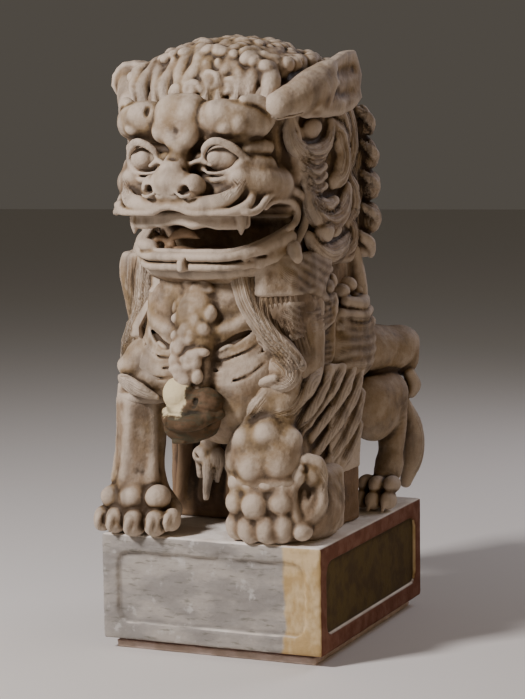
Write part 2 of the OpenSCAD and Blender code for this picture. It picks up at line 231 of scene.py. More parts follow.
class Clay:
    """A box of space that holds, at each grid point, the distance to the carved surface."""

    def __init__(self, low, high, step=None):
        self.step = step or STEP
        self.low = np.asarray(low, float)
        count = np.ceil((np.asarray(high, float) - self.low) / self.step).astype(int) + 1
        self.axes = [self.low[i] + self.step * np.arange(count[i]) for i in range(3)]
        self.field = np.full(count, FAR, np.float32)

    def _patch(self, form, margin):
        first = np.floor((form.low - margin - self.low) / self.step).astype(int)
        last = np.ceil((form.high + margin - self.low) / self.step).astype(int) + 1
        first, last = np.maximum(first, 0), np.minimum(last, self.field.shape)
        if np.any(last <= first):
            return None, None
        where = tuple(slice(a, b) for a, b in zip(first, last))
        x, y, z = (self.axes[i][where[i]].astype(np.float32) for i in range(3))
        return where, form.distance(x[:, None, None], y[None, :, None], z[None, None, :])

    def _work(self, form, blend, margin, join):
        where, d = self._patch(form, margin)
        if where is not None:
            self.field[where] = join(self.field[where], d.astype(np.float32), blend)

    def add(self, *forms, blend=6.0, pair=False):
        """Adds forms with a fillet; pair also adds their mirror images."""
        for form in forms:
            for f in (form, form.mirrored()) if pair else (form,):
                self._work(f, blend, blend + 12, soft_min)
        return self

    def cut(self, *forms, blend=4.0, pair=False):
        """Cuts forms away with a rounded arris."""
        for form in forms:
            for f in (form, form.mirrored()) if pair else (form,):
                self._work(f, blend, blend + 12, lambda a, b, k: -soft_min(-a, b, k))
        return self

    def blurred(self, reach):
        """The field averaged over a cube of the given half size, by running sums."""
        n = max(1, int(round(reach / self.step)))
        f = np.clip(self.field, -reach, reach)
        for axis in range(3):
            pad = [(0, 0)] * 3
            pad[axis] = (n + 1, n)
            total = np.cumsum(np.pad(f, pad, mode="edge"), axis=axis, dtype=np.float32)
            size = f.shape[axis]
            upper = np.take(total, np.arange(2 * n + 1, 2 * n + 1 + size), axis=axis)
            lower = np.take(total, np.arange(size), axis=axis)
            f = (upper - lower) / (2 * n + 1)
        return f

    def sample(self, values, points):
        """Trilinear reading of a grid of values at points."""
        q = (points - self.low) / self.step
        i = np.clip(np.floor(q).astype(int), 0, np.array(values.shape) - 2)
        t = q - i
        out = 0
        for corner in np.ndindex(2, 2, 2):
            c = np.array(corner)
            weight = np.prod(np.where(c, t, 1 - t), axis=1)
            j = i + c
            out = out + weight * values[j[:, 0], j[:, 1], j[:, 2]]
        return out

    def skin(self):
        """Surface nets: one vertex in each grid cell that the surface crosses, at the mean of the
        crossings on its edges, and one quad round each grid edge that changes sign."""
        f = self.field
        f[[0, -1]], f[:, [0, -1]], f[:, :, [0, -1]] = FAR, FAR, FAR
        inside = f < 0
        full = np.zeros(np.array(f.shape) - 1, np.int8)
        for dx, dy, dz in np.ndindex(2, 2, 2):
            nx, ny, nz = full.shape
            full += inside[dx:dx + nx, dy:dy + ny, dz:dz + nz]
        cells = np.argwhere((full > 0) & (full < 8))
        number = np.full(full.shape, -1, np.int32)
        number[tuple(cells.T)] = np.arange(len(cells))
        total, hits = np.zeros((len(cells), 3)), np.zeros(len(cells))
        for axis in range(3):
            side = [i for i in range(3) if i != axis]
            for u, v in np.ndindex(2, 2):
                start = np.zeros(3, int)
                start[side[0]], start[side[1]] = u, v
                end = start.copy()
                end[axis] = 1
                a, b = f[tuple((cells + start).T)], f[tuple((cells + end).T)]
                crossed = (a < 0) != (b < 0)
                t = np.where(crossed, a / np.where(crossed, a - b, 1), 0)
                total[crossed] += start
                total[crossed, axis] += t[crossed]
                hits += crossed
        verts = self.low + self.step * (cells + total / hits[:, None])
        quads = []
        for axis in range(3):
            lo = [slice(1, -1)] * 3
            hi = [slice(1, -1)] * 3
            lo[axis], hi[axis] = slice(0, -1), slice(1, None)
            change = inside[tuple(lo)] != inside[tuple(hi)]
            at = np.argwhere(change) + 1
            at[:, axis] -= 1
            rising = inside[tuple(at.T)]
            side = [(axis + 1) % 3, (axis + 2) % 3]
            ring = []
            for u, v in ((0, 0), (1, 0), (1, 1), (0, 1)):
                cell = at.copy()
                cell[:, side[0]] -= 1 - u
                cell[:, side[1]] -= 1 - v
                ring.append(number[tuple(cell.T)])
            ring = np.column_stack(ring)
            ring[~rising] = ring[~rising][:, ::-1]
            quads.append(ring)
        quads = np.vstack(quads)
        return Skin(verts, quads[(quads >= 0).all(1)], self)


# ---------------------------------------------------------------- skin: combed and weathered

LATTICE = np.random.default_rng(7).random((64, 64, 64)).astype(np.float32)


def noise(points, size, octaves=1):
    """Smooth noise from -1 to 1: random values on a lattice of the given size, mm, blended by
    3t^2 - 2t^3; each further octave halves the size and the height."""
    out, height, total = 0.0, 1.0, 0.0
    for _ in range(octaves):
        q = points / size + 31.7
        i = np.floor(q).astype(int)
        t = q - i
        t = t * t * (3 - 2 * t)
        value = 0
        for corner in np.ndindex(2, 2, 2):
            c = np.array(corner)
            j = (i + c) % 64
            value = value + np.prod(np.where(c, t, 1 - t), axis=1) * LATTICE[j[:, 0], j[:, 1], j[:, 2]]
        out, total = out + height * (2 * value - 1), total + height
        size, height = size / 2, height / 2
    return out / total


class Skin:
    """A quad mesh in mm with its normals, and attributes for the materials."""

    def __init__(self, verts, quads, clay=None):
        self.verts, self.quads = verts, quads
        self.hollow = np.zeros(len(verts))
        self.strand = np.zeros(len(verts))
        self.combed = np.zeros(len(verts))
        if clay is not None:
            # hollow: above 0 in creases and hollows, below 0 on ridges; the stone materials darken creases
            # with it as painted shade and lighten ridges with it as a painted highlight
            near = clay.sample(clay.blurred(9), verts) / 9
            wide = clay.sample(clay.blurred(26), verts) / 26
            self.hollow = np.clip(-(2.2 * near + 1.2 * wide), -1, 1)

    def normals(self):
        """Vertex normals: each quad's crossed diagonals, summed at its corners."""
        v, q = self.verts, self.quads
        n = np.cross(v[q[:, 2]] - v[q[:, 0]], v[q[:, 3]] - v[q[:, 1]])
        out = np.column_stack([np.bincount(q.ravel(), np.repeat(n[:, i], 4), len(v)) for i in range(3)])
        return out / (np.linalg.norm(out, axis=1, keepdims=True) + 1e-9)

    def mirror(self):
        """Turns the skin into its mirror image on the lion's other side."""
        self.verts[:, 0] *= -1
        self.quads = self.quads[:, ::-1]

    def comb(self, points, width, spacing=9.0, depth=2.5, pair=False, ends=0.15):
        """Hair lines along a path: grooves across the lateral distance u from the path,
        depth (1 - cos(2 pi u / spacing)) / 2, fading at the ribbon's edges and ends."""
        for sign in (1, -1) if pair else (1,):
            path = smooth_path(np.asarray(points, float) * (sign, 1, 1), 5)
            w = np.broadcast_to(width, (2,)).astype(float)
            reach = w.max() + 6
            near = np.all((self.verts > path.min(0) - reach) & (self.verts < path.max(0) + reach), axis=1)
            pick = np.flatnonzero(near)
            if not len(pick):
                continue
            v, n = self.verts[pick], self.normals()[pick]
            best = np.full(len(v), 1e9)
            lateral, along = np.zeros(len(v)), np.zeros(len(v))
            count = len(path) - 1
            for k, (a, b) in enumerate(zip(path[:-1], path[1:])):
                ab = b - a
                t = np.clip((v - a) @ ab / (ab @ ab), 0, 1)
                off = v - a - t[:, None] * ab
                d = np.einsum("ij,ij->i", off, off)
                side = np.cross(ab / np.linalg.norm(ab), n)
                u = np.einsum("ij,ij->i", off, side)
                closer = d < best
                best[closer], lateral[closer] = d[closer], u[closer]
                along[closer] = (k + t[closer]) / count
            half = w[0] + (w[1] - w[0]) * along
            edge = np.clip((half - np.sqrt(best)) / 5, 0, 1)
            tip = np.clip(along / ends, 0, 1) * np.clip((1 - along) / ends, 0, 1) if ends else 1.0
            fade = edge * tip
            u = lateral * (np.mean(w) / np.maximum(half, 1))
            groove = 0.5 - 0.5 * np.cos(2 * np.pi * u / spacing)
            self.verts[pick] -= (depth * fade * groove)[:, None] * n
            # The grooves raise hollow a little, which paints shade into them.
            self.hollow[pick] = np.clip(self.hollow[pick] + 0.35 * fade * (groove - 0.4), -1, 1)
            self.strand[pick] = np.where(fade > 0.05, u, self.strand[pick])
            self.combed[pick] = np.maximum(self.combed[pick], fade)
        return self

    def weather(self, height=1.2, size=22.0, seed=0.0):
        """Uneven worn stone: four octaves of noise along the normals."""
        lift = noise(self.verts + seed, size, 4) * height
        self.verts += lift[:, None] * self.normals()
        return self


def to_frame(points):
    """Lion's frame in mm to the row's frame in metres."""
    c, s = math.cos(LION_TURN), math.sin(LION_TURN)
    x, y, z = points[:, 0] * MM, points[:, 1] * MM, points[:, 2] * MM
    return np.column_stack([c * x - s * y, s * x + c * y, z + BASE_TOP])


def make_piece(name, skin, material, replaces, lion=True):
    """Puts a skin into the scene as a mesh object that rides on root and replaces CAD nodes."""
    points = to_frame(skin.verts) if lion else skin.verts * MM
    mesh = bpy.data.meshes.new(name)
    count = len(skin.quads)
    mesh.vertices.add(len(points))
    mesh.vertices.foreach_set("co", points.astype(np.float32).ravel())
    mesh.loops.add(4 * count)
    mesh.loops.foreach_set("vertex_index", skin.quads.astype(np.int32).ravel())
    mesh.polygons.add(count)
    mesh.polygons.foreach_set("loop_start", np.arange(0, 4 * count, 4, dtype=np.int32))
    mesh.polygons.foreach_set("loop_total", np.full(count, 4, np.int32))
    mesh.polygons.foreach_set("use_smooth", np.full(count, True))
    mesh.update(calc_edges=True)
    mesh.validate()
    for key in ("hollow", "strand", "combed"):
        layer = mesh.attributes.new(key, "FLOAT", "POINT")
        layer.data.foreach_set("value", getattr(skin, key).astype(np.float32))
    obj = bpy.data.objects.new(name, mesh)
    bpy.context.scene.collection.objects.link(obj)
    mesh.materials.append(material)
    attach(obj, "root")
    if replaces:
        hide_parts(*((replaces,) if isinstance(replaces, str) else replaces))
    return obj


# ---------------------------------------------------------------- the head

def head_piece(stone):
    """Skull, brows, eyelids, nose, cheeks, upper lip and the rolled corners of the mouth."""
    c = Clay((-262, -506, 640), (262, 52, 1146), STEP * 1.2)
    upper = [(0, -386), (80, -384), (136, -366), (176, -332), (202, -286), (214, -226), (218, -150),
             (212, 20)]
    lower = [(0, -424), (90, -418), (150, -400), (186, -366), (206, -312), (214, -240), (218, -150),
             (212, 20)]
    c.add(block((-204, -200, 648), (204, 40, 1090), 24), blend=0)
    for plan, low, high, soft in ((upper, 840, 1064, 24), (lower, 800, 888, 30)):
        c.add(prism([(-x, y) for x, y in plan[:0:-1]] + plan, low, high, soft=soft), blend=40)
    c.add(block((-200, -330, 1000), (200, 40, 1130), 50), blend=20)
    c.add(strand([(150, -376, 894), (186, -330, 886), (204, -280, 880)], [34, 40, 34]), blend=30, pair=True)
    # brows: a central mass, a thick ridge over each eye and its outer scroll
    c.add(egg((20, -396, 1044), (54, 46, 58), (-10, 0, 0)), blend=12, pair=True)
    c.add(strand([(-34, -404, 1030), (-10, -414, 998), (8, -420, 972)], [32, 30, 20]), blend=8)
    c.add(strand([(44, -404, 1024), (26, -414, 996), (10, -420, 970)], [28, 26, 18]), blend=8)
    c.add(egg((-36, -408, 1012), (40, 32, 34)), blend=6)
    c.add(egg((30, -412, 1050), (36, 28, 36)), blend=6)
    c.add(strand([(80, -388, 1040), (116, -386, 1040), (154, -366, 1036), (182, -340, 1026)],
                 [42, 46, 44, 34]), blend=4, pair=True)
    c.add(egg((104, -408, 1050), (38, 26, 32), (0, 0, -16)), blend=6, pair=True)
    c.add(egg((150, -392, 1028), (32, 24, 28), (0, 0, -30)), blend=6, pair=True)
    c.add(egg((124, -410, 1018), (26, 18, 18), (0, 0, -20)), blend=6, pair=True)
    c.add(strand([(164, -376, 1078), (190, -352, 1078), (206, -328, 1052), (200, -332, 1022),
                  (182, -352, 1030), (186, -350, 1052)], [14, 17, 17, 15, 11, 9]), blend=3, pair=True)
    c.cut(egg((146, -398, 1084), (22, 14, 6), (0, 20, -30)), blend=8, pair=True)
    c.cut(strand([(-66, -450, 1092), (-72, -436, 1040), (-74, -424, 990)], [5, 6, 6]), blend=6)
    c.cut(strand([(66, -450, 1080), (68, -440, 1044), (74, -430, 1008)], [3, 5, 5]), blend=6)
    c.cut(strand([(34, -446, 1010), (20, -452, 980)], [3, 3]), blend=6)
    c.cut(egg((-80, -432, 1062), (7, 16, 18)), blend=6)
    # eye sockets and lids
    c.cut(egg((108, -420, 944), (53, 38, 35), (0, 8, -18)), blend=5, pair=True)
    c.add(egg((50, -390, 934), (26, 18, 26)), blend=12, pair=True)
    c.add(strand([(76, -384, 1004), (112, -386, 1010), (152, -364, 1000)], [24, 26, 22]), blend=10, pair=True)
    lid = [(58, -398, 922), (74, -414, 962), (108, -424, 980), (140, -408, 966), (162, -382, 940),
           (142, -396, 918), (108, -408, 908), (76, -404, 910)]
    c.add(strand(lid + lid[:1], 5), blend=6, pair=True)
    c.add(strand([(62, -392, 940), (72, -412, 970), (110, -424, 988), (148, -402, 974), (172, -374, 944)],
                 [4, 6, 7, 6, 4]), blend=7, pair=True)
    c.add(strand([(70, -398, 896), (108, -408, 892), (146, -390, 904)], [4, 6, 4]), blend=6, pair=True)
    # nose: a flat bridge and tip between two round wings
    c.add(strand([(0, -384, 962), (0, -412, 936), (0, -440, 906)], [24, 32, 38]), blend=14)
    c.cut(strand([(-46, -432, 986), (-24, -446, 960), (10, -452, 944), (44, -442, 962), (62, -428, 988)],
                 [4, 6, 6, 6, 4]), blend=6)
    c.add(strand([(-26, -450, 886), (0, -456, 888), (26, -450, 886)], [30, 32, 30]), blend=12)
    c.add(strand([(-20, -456, 866), (20, -456, 866)], [24, 24]), blend=10)
    c.add(egg((54, -440, 876), (31, 36, 31), (0, 0, -14)), blend=5, pair=True)
    c.cut(egg((50, -480, 872), (11, 28, 11), (0, 0, -8)), blend=3, pair=True)
    c.add(strand([(34, -474, 862), (48, -480, 854), (66, -472, 858), (72, -462, 870)], 5), blend=5, pair=True)
    c.cut(strand([(36, -446, 918), (64, -436, 918), (90, -422, 896), (92, -416, 868), (84, -426, 846)],
                 [3, 4, 5, 5, 4]), blend=7, pair=True)
    c.add(strand([(36, -420, 930), (60, -412, 938), (88, -404, 926)], [6, 7, 5]), blend=5, pair=True)
    # upper lip with the moustache that sweeps up at its ends
    c.add(strand([(0, -452, 840), (56, -450, 832), (108, -440, 836), (142, -420, 850), (160, -396, 876),
                  (158, -386, 906)], [20, 21, 21, 18, 13, 4], flat=((0, 1, 0), 0.8)), blend=6, pair=True)
    c.add(strand([(0, -460, 832), (26, -458, 824), (64, -454, 814), (110, -446, 812), (154, -424, 814),
                  (178, -396, 830), (182, -376, 856), (172, -372, 884)], [8, 9, 10, 11, 13, 13, 10, 6]),
          blend=4, pair=True)
    c.cut(strand([(24, -478, 848), (76, -472, 840), (126, -456, 846), (156, -432, 870), (164, -416, 900)],
                 [3, 4, 4, 4, 3]), blend=4, pair=True)
    c.cut(strand([(18, -470, 862), (76, -464, 862), (116, -446, 868), (138, -428, 892)], [4, 5, 5, 4]),
          blend=8, pair=True)
    c.add(egg((-176, -408, 830), (15, 15, 13)), blend=3)
    # cheek lappets, temple and the crease in front of the ear
    c.add(strand([(164, -352, 968), (180, -332, 970), (190, -312, 968)], [18, 20, 16]), blend=12, pair=True)
    c.add(strand([(152, -374, 926), (176, -346, 926), (192, -316, 926)], [16, 24, 20]), blend=12, pair=True)
    c.add(strand([(168, -366, 892), (194, -334, 894)], [18, 22]), blend=10, pair=True)
    c.add(strand([(216, -262, 1060), (223, -232, 980), (220, -220, 900)], [16, 18, 14]), blend=30, pair=True)
    c.cut(strand([(232, -296, 1086), (236, -274, 1040), (232, -246, 1006)], [4, 6, 3]), blend=8, pair=True)
    # mouth, rolled corners and the ball below them
    c.cut(prism([(-540, 600), (-540, 806), (-400, 806), (-372, 812), (-330, 830), (-285, 834),
                 (-240, 826), (-220, 804), (-226, 770), (-242, 742), (-242, 600)], -270, 270, axis=0),
          blend=5)
    c.cut(egg((0, -440, 806), (40, 44, 14)), blend=8)
    c.add(strand([(168, -416, 818), (186, -408, 814), (196, -394, 814), (203, -374, 824), (207, -356, 840),
                  (210, -336, 855), (213, -312, 862), (216, -282, 866), (220, -246, 862), (223, -212, 852),
                  (224, -190, 836), (224, -180, 810), (222, -188, 776), (220, -212, 746), (219, -230, 730)],
                 [6, 9, 9, 9, 9, 9, 10, 11, 11, 11, 11, 11, 11, 10, 9]), blend=5, pair=True)
    c.add(strand([(202, -346, 822), (206, -322, 836), (210, -284, 842), (214, -242, 836), (216, -212, 812),
                  (214, -218, 784), (210, -250, 768)], [6, 8, 9, 9, 9, 9, 8]), blend=3, pair=True)
    c.add(strand([(222, -244, 722), (226, -246, 700)], [19, 20]), blend=3, pair=True)
    skin = c.skin()
    for k in range(3):
        skin.comb([(120 + 16 * k, -452 + 20 * k, 836 + 10 * k), (164 + 4 * k, -420 + 14 * k, 896)],
                  16, 7, 1.8, pair=True)
    skin.weather(1.8, 30)
    return make_piece("head_block_stone", skin, stone, "head_block")


def eye_piece(name, side, stone):
    """Eyeball with its raised iris."""
    c = Clay((side * 105 - 60, -450, 880), (side * 105 + 60, -300, 1010), FINE)
    c.add(egg((side * 106 - 6, -370, 944), (46, 38, 33), (0, 0, -14 * side)), blend=0)
    c.add(egg((side * 102 - 8, -402, 945), (19, 13, 19)), blend=4)
    return make_piece(name + "_stone", c.skin().weather(0.6, 16), stone, name)


# ---------------------------------------------------------------- mouth

JAW = [(-214, -232), (-206, -262), (-184, -318), (-154, -366), (-116, -396), (-66, -409), (0, -412),
       (66, -409), (116, -396), (154, -366), (184, -318), (206, -262), (214, -232)]


def jaw_line(inset, z, rise=0.0):
    """The jaw's outline drawn in by inset at height z; the ends lift by rise."""
    return [(x * (1 - inset / 200), y * (1 - inset / 410), z + rise * max(0.0, (y + 400) / 170) ** 1.3)
            for x, y in JAW]


def jaw_piece(stone):
    """Lower jaw: a tray with two rolled mouldings round its front and a smooth jowl each side."""
    c = Clay((-236, -446, 640), (236, -160, 806), STEP)
    plan = [(x * 0.95, y * 0.965) for x, y in JAW] + [(204, -170), (-204, -170)]
    c.add(prism([(x * 0.93, y * 0.95) for x, y in plan], 664, 710, soft=12), blend=0)
    c.add(strand([(150, -356, 706), (176, -316, 722), (198, -272, 738), (210, -236, 748)], [12, 15, 17, 16]),
          blend=16, pair=True)
    c.add(strand([(166, -316, 690), (188, -274, 700), (198, -226, 704)], [16, 20, 22]), blend=20, pair=True)
    c.add(strand(jaw_line(8, 704, 68), 11, 3), blend=5)
    c.add(strand(jaw_line(18, 718, 56), 7, 3), blend=5)
    c.add(strand(jaw_line(16, 680, 30)[2:-2], 10, 3), blend=5)
    c.cut(strand(jaw_line(2, 692, 36)[2:-2], 4, 3), blend=4)
    c.cut(prism([(x * 0.82, y * 0.88 + 4) for x, y in JAW] + [(150, -120), (-150, -120)], 694, 840, soft=8),
          blend=8)
    c.add(block((-8, -422, 668), (10, -396, 698), 7), blend=3)
    c.cut(block((12, -440, 664), (16, -400, 704), 1), blend=2)
    c.add(egg((-116, -376, 730), (30, 22, 17), (0, 14, 0)), blend=6)
    c.cut(egg((-132, -412, 708), (16, 14, 7)), blend=4)
    skin = c.skin().weather(1.8, 26)
    return make_piece("lower_jaw_stone", skin, stone, "lower_jaw")


def teeth_piece(stone):
    """The plate of upper teeth, scalloped below, and the two fangs."""
    c = Clay((-196, -446, 736), (196, -300, 822), FINE)
    arc = [(0, -430), (60, -427), (112, -414), (148, -388), (162, -350)]
    plan = [(-x, y) for x, y in arc[::-1]] + arc[1:] \
        + [(x * 0.8, y + 34) for x, y in arc[::-1]] + [(-x * 0.8, y + 34) for x, y in arc[1:]]
    c.add(prism(plan, 772, 816, soft=12), blend=0)
    c.cut(egg((-10, -420, 762), (46, 60, 22)), blend=10)
    c.cut(egg((70, -420, 756), (30, 60, 22)), blend=10, pair=True)
    c.add(strand([(148, -376, 806), (152, -378, 784), (153, -380, 760)], [17, 12, 3]), blend=4, pair=True)
    return make_piece("upper_teeth_stone", c.skin().weather(1.0, 20), stone, "upper_teeth")


def tongue_piece(stone):
    """Tongue curling up at its tip, with a leaf and a scroll beside it."""
    c = Clay((-150, -410, 680), (150, -180, 790), FINE)
    c.add(strand([(0, -210, 706), (-6, -290, 706), (-16, -340, 712), (-24, -366, 722)], [40, 44, 34, 20],
                 flat=((0, 0, 1), 0.4)), blend=0)
    c.add(strand([(-60, -366, 744), (-30, -378, 758), (0, -380, 762), (30, -374, 750)], [6, 12, 13, 4],
                 flat=((0, 1, 0), 0.6)), blend=6)
    ring = [(-84 + 20 * math.cos(a), -364, 730 + 18 * math.sin(a)) for a in np.linspace(-0.6, 5.2, 9)]
    c.add(strand(ring, 9), blend=4)
    c.add(egg((-50, -372, 732), 12), blend=4)
    c.add(egg((-52, -374, 712), 10), blend=4)
    return make_piece("tongue_stone", c.skin().weather(1.0, 18), stone, "tongue")


# ---------------------------------------------------------------- crown, ears and mane

def crown_piece(stone):
    """The hair on top of the head: locks swept back from the brow, with rough curls behind."""
    c = Clay((-250, -392, 1036), (250, 66, 1268), STEP)
    c.add(block((-206, -312, 1020), (206, 30, 1204), 100), blend=0)
    c.add(egg((0, -140, 1140), (184, 150, 78)), blend=30)
    locks = []
    for k, x in enumerate(range(-190, 191, 38)):
        sway = 7 * (-1) ** k
        rise = 1238 - 0.0013 * x * x
        locks.append([(x * 0.98, -356 + abs(x) * 0.22, 1076), (x * 1.0 + sway, -344 + abs(x) * 0.22, 1120),
                      (x * 0.97 - sway, -312 + abs(x) * 0.2, 1168 - abs(x) * 0.06),
                      (x * 0.95 + sway, -262 + abs(x) * 0.1, rise - 34), (x * 0.92 - sway, -200, rise - 22),
                      (x * 0.88 + sway, -130, rise - 18), (x * 0.84 - sway, -60, rise - 24),
                      (x * 0.82, 10, rise - 66)])
    for lock in locks:
        c.add(strand(lock, [16, 24, 26, 26, 26, 26, 24, 14]), blend=9)
    rng = np.random.default_rng(21)
    for k in range(190):
        x, y = rng.uniform((-205, -300), (205, 10))
        z = 1228 - 0.0014 * x * x - 0.0022 * max(0, -y - 190) ** 2 - 0.003 * max(0, y + 60) ** 2
        r = rng.uniform(9, 20) * (1.15 if x > -20 or y > -200 else 0.75)
        c.add(egg((x, y, z), (r * 1.4, r, r), (0, 0, rng.uniform(0, 180))), blend=3.5)
    for k in range(70):
        x = rng.uniform(-200, 200)
        z = rng.uniform(1086, 1180)
        r = rng.uniform(8, 15)
        y = -338 + 0.0026 * x * x + 0.004 * max(0, z - 1110) ** 2
        c.add(egg((x, y, z), (r, r, r * 1.6), (0, rng.uniform(-60, 60), 0)), blend=5)
    for x, z, r, turn in ((10, 1108, 24, 1), (56, 1128, 28, -1), (98, 1112, 26, 1), (-34, 1104, 18, -1),
                          (132, 1146, 24, -1), (166, 1124, 20, 1)):
        curl = [(x + turn * (r - 3.2 * k) * math.cos(k * 1.05),
                 -366 + 0.0026 * x * x + 0.55 * (z - 1096) - 2 * k,
                 z + (r - 3.2 * k) * math.sin(k * 1.05)) for k in range(6)]
        c.add(egg((x, curl[-1][1] + 10, z), (r * 0.8, 14, r * 0.8)), blend=4)
        c.add(strand(curl, 8), blend=5)
    skin = c.skin()
    for lock in locks:
        skin.comb(lock, 24, 8, 2.6, ends=0.1)
    skin.weather(4.0, 26)
    return make_piece("crown_curls_stone", skin, stone, "crown_curls")


def ear_piece(name, side, stone):
    """A long ear: a rounded root that opens into a folded, scalloped shell.  The right one is worn
    down to a broken plate."""
    c = Clay((170, -386, 1010), (316, 56, 1240), FINE * 1.2)
    if side > 0:
        c.add(strand([(226, -322, 1066), (244, -270, 1084), (258, -210, 1110), (268, -160, 1136)],
                     [34, 42, 46, 40]), blend=0)
        c.add(strand([(256, -230, 1070), (268, -170, 1078), (276, -110, 1084)], [34, 36, 30],
                     flat=((1, 0, 0), 0.7)), blend=14)
        c.add(prism([(-230, 1060), (-210, 1148), (-158, 1172), (-73, 1203), (-22, 1208), (-2, 1176),
                     (14, 1148), (4, 1118), (14, 1088), (-36, 1058), (-100, 1044), (-162, 1042)],
                    258, 288, axis=0, soft=10), blend=16)
        c.cut(strand([(304, -150, 1140), (304, -100, 1150), (302, -40, 1160)], [10, 22, 20]), blend=10)
        c.cut(strand([(306, -150, 1096), (304, -100, 1096), (302, -40, 1104)], [8, 16, 14]), blend=10)
        c.add(strand([(282, -176, 1160), (292, -168, 1120), (286, -180, 1074)], [8, 11, 8]), blend=10)
        c.cut(strand([(210, -346, 1048), (240, -320, 1040), (262, -270, 1050)], [3, 5, 3]), blend=6)
    else:
        c.add(strand([(206, -300, 1080), (226, -266, 1110), (244, -236, 1140)], [34, 38, 36]), blend=0)
        c.add(prism([(196, 1096), (204, 1150), (196, 1182), (226, 1192), (262, 1188), (294, 1160),
                     (298, 1128),
                     (276, 1096), (240, 1084)], -262, -196, axis=1, soft=12), blend=12)
        c.cut(egg((300, -266, 1172), (16, 40, 12)), blend=8)
    skin = c.skin()
    if side < 0:
        skin.mirror()
    skin.weather(1.8, 26)
    return make_piece(name + "_stone", skin, stone, name)


MANE = [
    ([(-262, 1040), (-262, 996), (-236, 966), (-186, 952), (-136, 958), (-98, 982), (-76, 1022)], 20, 244),
    ([(-236, 958), (-206, 936), (-164, 928), (-122, 940)], 14, 244),
    ([(-230, 932), (-200, 910), (-160, 904), (-118, 918)], 14, 246),
    ([(-222, 906), (-192, 886), (-154, 880), (-114, 896)], 13, 245),
    ([(-212, 882), (-184, 862), (-150, 858), (-112, 870)], 13, 244),
    ([(-192, 860), (-172, 814), (-124, 784), (-60, 790), (-16, 824), (4, 860)], 27, 244),
    ([(-186, 848), (-160, 826), (-116, 818), (-70, 834)], 18, 250),
    ([(-180, 748), (-140, 716), (-86, 700), (-20, 712), (34, 744)], 22, 236),
    ([(-76, 1026), (-44, 1000), (-20, 950), (-34, 900), (-70, 878)], 28, 240),
    ([(-60, 1100), (-40, 1056), (-6, 1010), (2, 950)], 24, 240),
    ([(-20, 1104), (6, 1064), (40, 1010), (46, 950), (24, 900)], 24, 236),
    ([(20, 900), (50, 856), (52, 806), (22, 772)], 26, 236),
    ([(50, 1096), (96, 1040), (108, 980), (84, 926), (110, 880), (90, 830), (104, 780), (76, 720)], 32, 222),
    ([(84, 1080), (116, 1014), (98, 950)], 26, 218),
    ([(96, 906), (140, 878), (114, 830)], 26, 216),
    ([(20, 790), (50, 760), (44, 722), (4, 700)], 24, 234),
]


def mane_piece(name, side, stone):
    """The mane behind the cheek: crescents of combed locks stacked down to the shoulder."""
    c = Clay((150, -306, 648), (294, 206, 1126), STEP)
    c.add(prism([(-226, 1112), (-228, 984), (-204, 900), (-178, 826), (-160, 760), (-146, 690), (-90, 668),
                 (60, 668), (98, 710), (100, 1112)], 160, 236, axis=0, soft=22), blend=0)
    c.cut(egg((256, -200, 1030), (34, 40, 30), (-10, 0, 0)), blend=8)
    for path, radius, x in MANE:
        pts = [(x - 2 - 0.0005 * (y + 80) ** 2, y, z) for y, z in path]
        ends = np.interp(np.linspace(0, 1, len(pts)), (0, 0.25, 0.75, 1), (0.5, 1, 1, 0.6)) * radius * 1.22
        c.add(strand(pts, ends, flat=((1, 0, 0), 0.8)), blend=3.5)
    for y, z, width, height in ((128, 1030, 30, 44), (148, 946, 34, 46), (152, 866, 40, 42),
                                (152, 780, 42, 44),
                                (126, 712, 32, 36)):
        c.add(egg((222, y, z), (width, width, height), (0, 0, 20)), blend=5)
        c.add(strand([(236, y - 46, z + 30), (252, y - 14, z + 4), (238, y + 20, z - 26)], [12, 16, 11]),
              blend=3)
    c.add(egg((248, -134, 758), (26, 34, 29)), blend=3)
    c.add(egg((244, -76, 762), (22, 24, 22)), blend=3)
    c.add(egg((232, -166, 1012), (20, 44, 26), (14, 0, 0)), blend=6)
    skin = c.skin()
    for path, radius, x in MANE:
        skin.comb([(x, y, z) for y, z in path], radius * 1.3, 9, 2.8, ends=0.12)
    skin.comb([(260, 100, 1060), (256, 160, 900), (256, 168, 740)], 46, 10, 2.4, ends=0.12)
    if side < 0:
        skin.mirror()
    skin.weather(3.2, 24)
    return make_piece(name + "_stone", skin, stone, name)


def back_piece(stone):
    """The slab behind the neck and shoulders, with the mane's waves down its edges."""
    c = Clay((-252, 30, 326), (262, 178, 1130), STEP * 1.2)
    c.add(block((-214, 44, 336), (216, 160, 1004), 26), blend=0)
    c.add(egg((0, 104, 1000), (206, 58, 122)), blend=20)
    c.add(strand([(214, 96, 700), (232, 98, 620), (236, 96, 560), (232, 90, 470)], 16), blend=20, pair=True)
    for x in (-150, -90, -30, 30, 90, 150):
        c.add(strand([(x, 140, 1010), (x + 14, 156, 900), (x - 8, 158, 800), (x + 8, 156, 700)],
                     [18, 24, 22, 8]), blend=8)
    skin = c.skin()
    for x in (-150, -90, -30, 30, 90, 150):
        skin.comb([(x, 150, 1010), (x + 14, 170, 900), (x - 8, 172, 800), (x + 8, 168, 690)], 28, 9, 2.2)
    skin.weather(2.0, 36)
    return make_piece("back_slab_stone", skin, stone, "back_slab")


# ---------------------------------------------------------------- body

BODY = prism([(-214, 60), (-220, -180), (-204, -246), (-160, -284), (-90, -300), (90, -300), (160, -284),
              (204, -246), (220, -180), (214, 60)], 336, 704, soft=34)


def torso_piece(stone):
    """The chest and neck: a smooth breast that flares into the neck band."""
    c = Clay((-250, -384, 236), (250, 90, 720), STEP * 1.1)
    c.add(BODY, blend=0)
    c.add(egg((0, -262, 664), (182, 100, 44)), blend=24)
    c.add(egg((30, -250, 330), (130, 86, 84)), blend=30)
    c.add(strand([(-170, -290, 676), (-100, -346, 668), (0, -364, 664), (100, -346, 668), (170, -290, 676)],
                 [14, 15, 15, 15, 14]), blend=14)
    return make_piece("torso_block_stone", c.skin().weather(1.8, 40), stone, "torso_block")


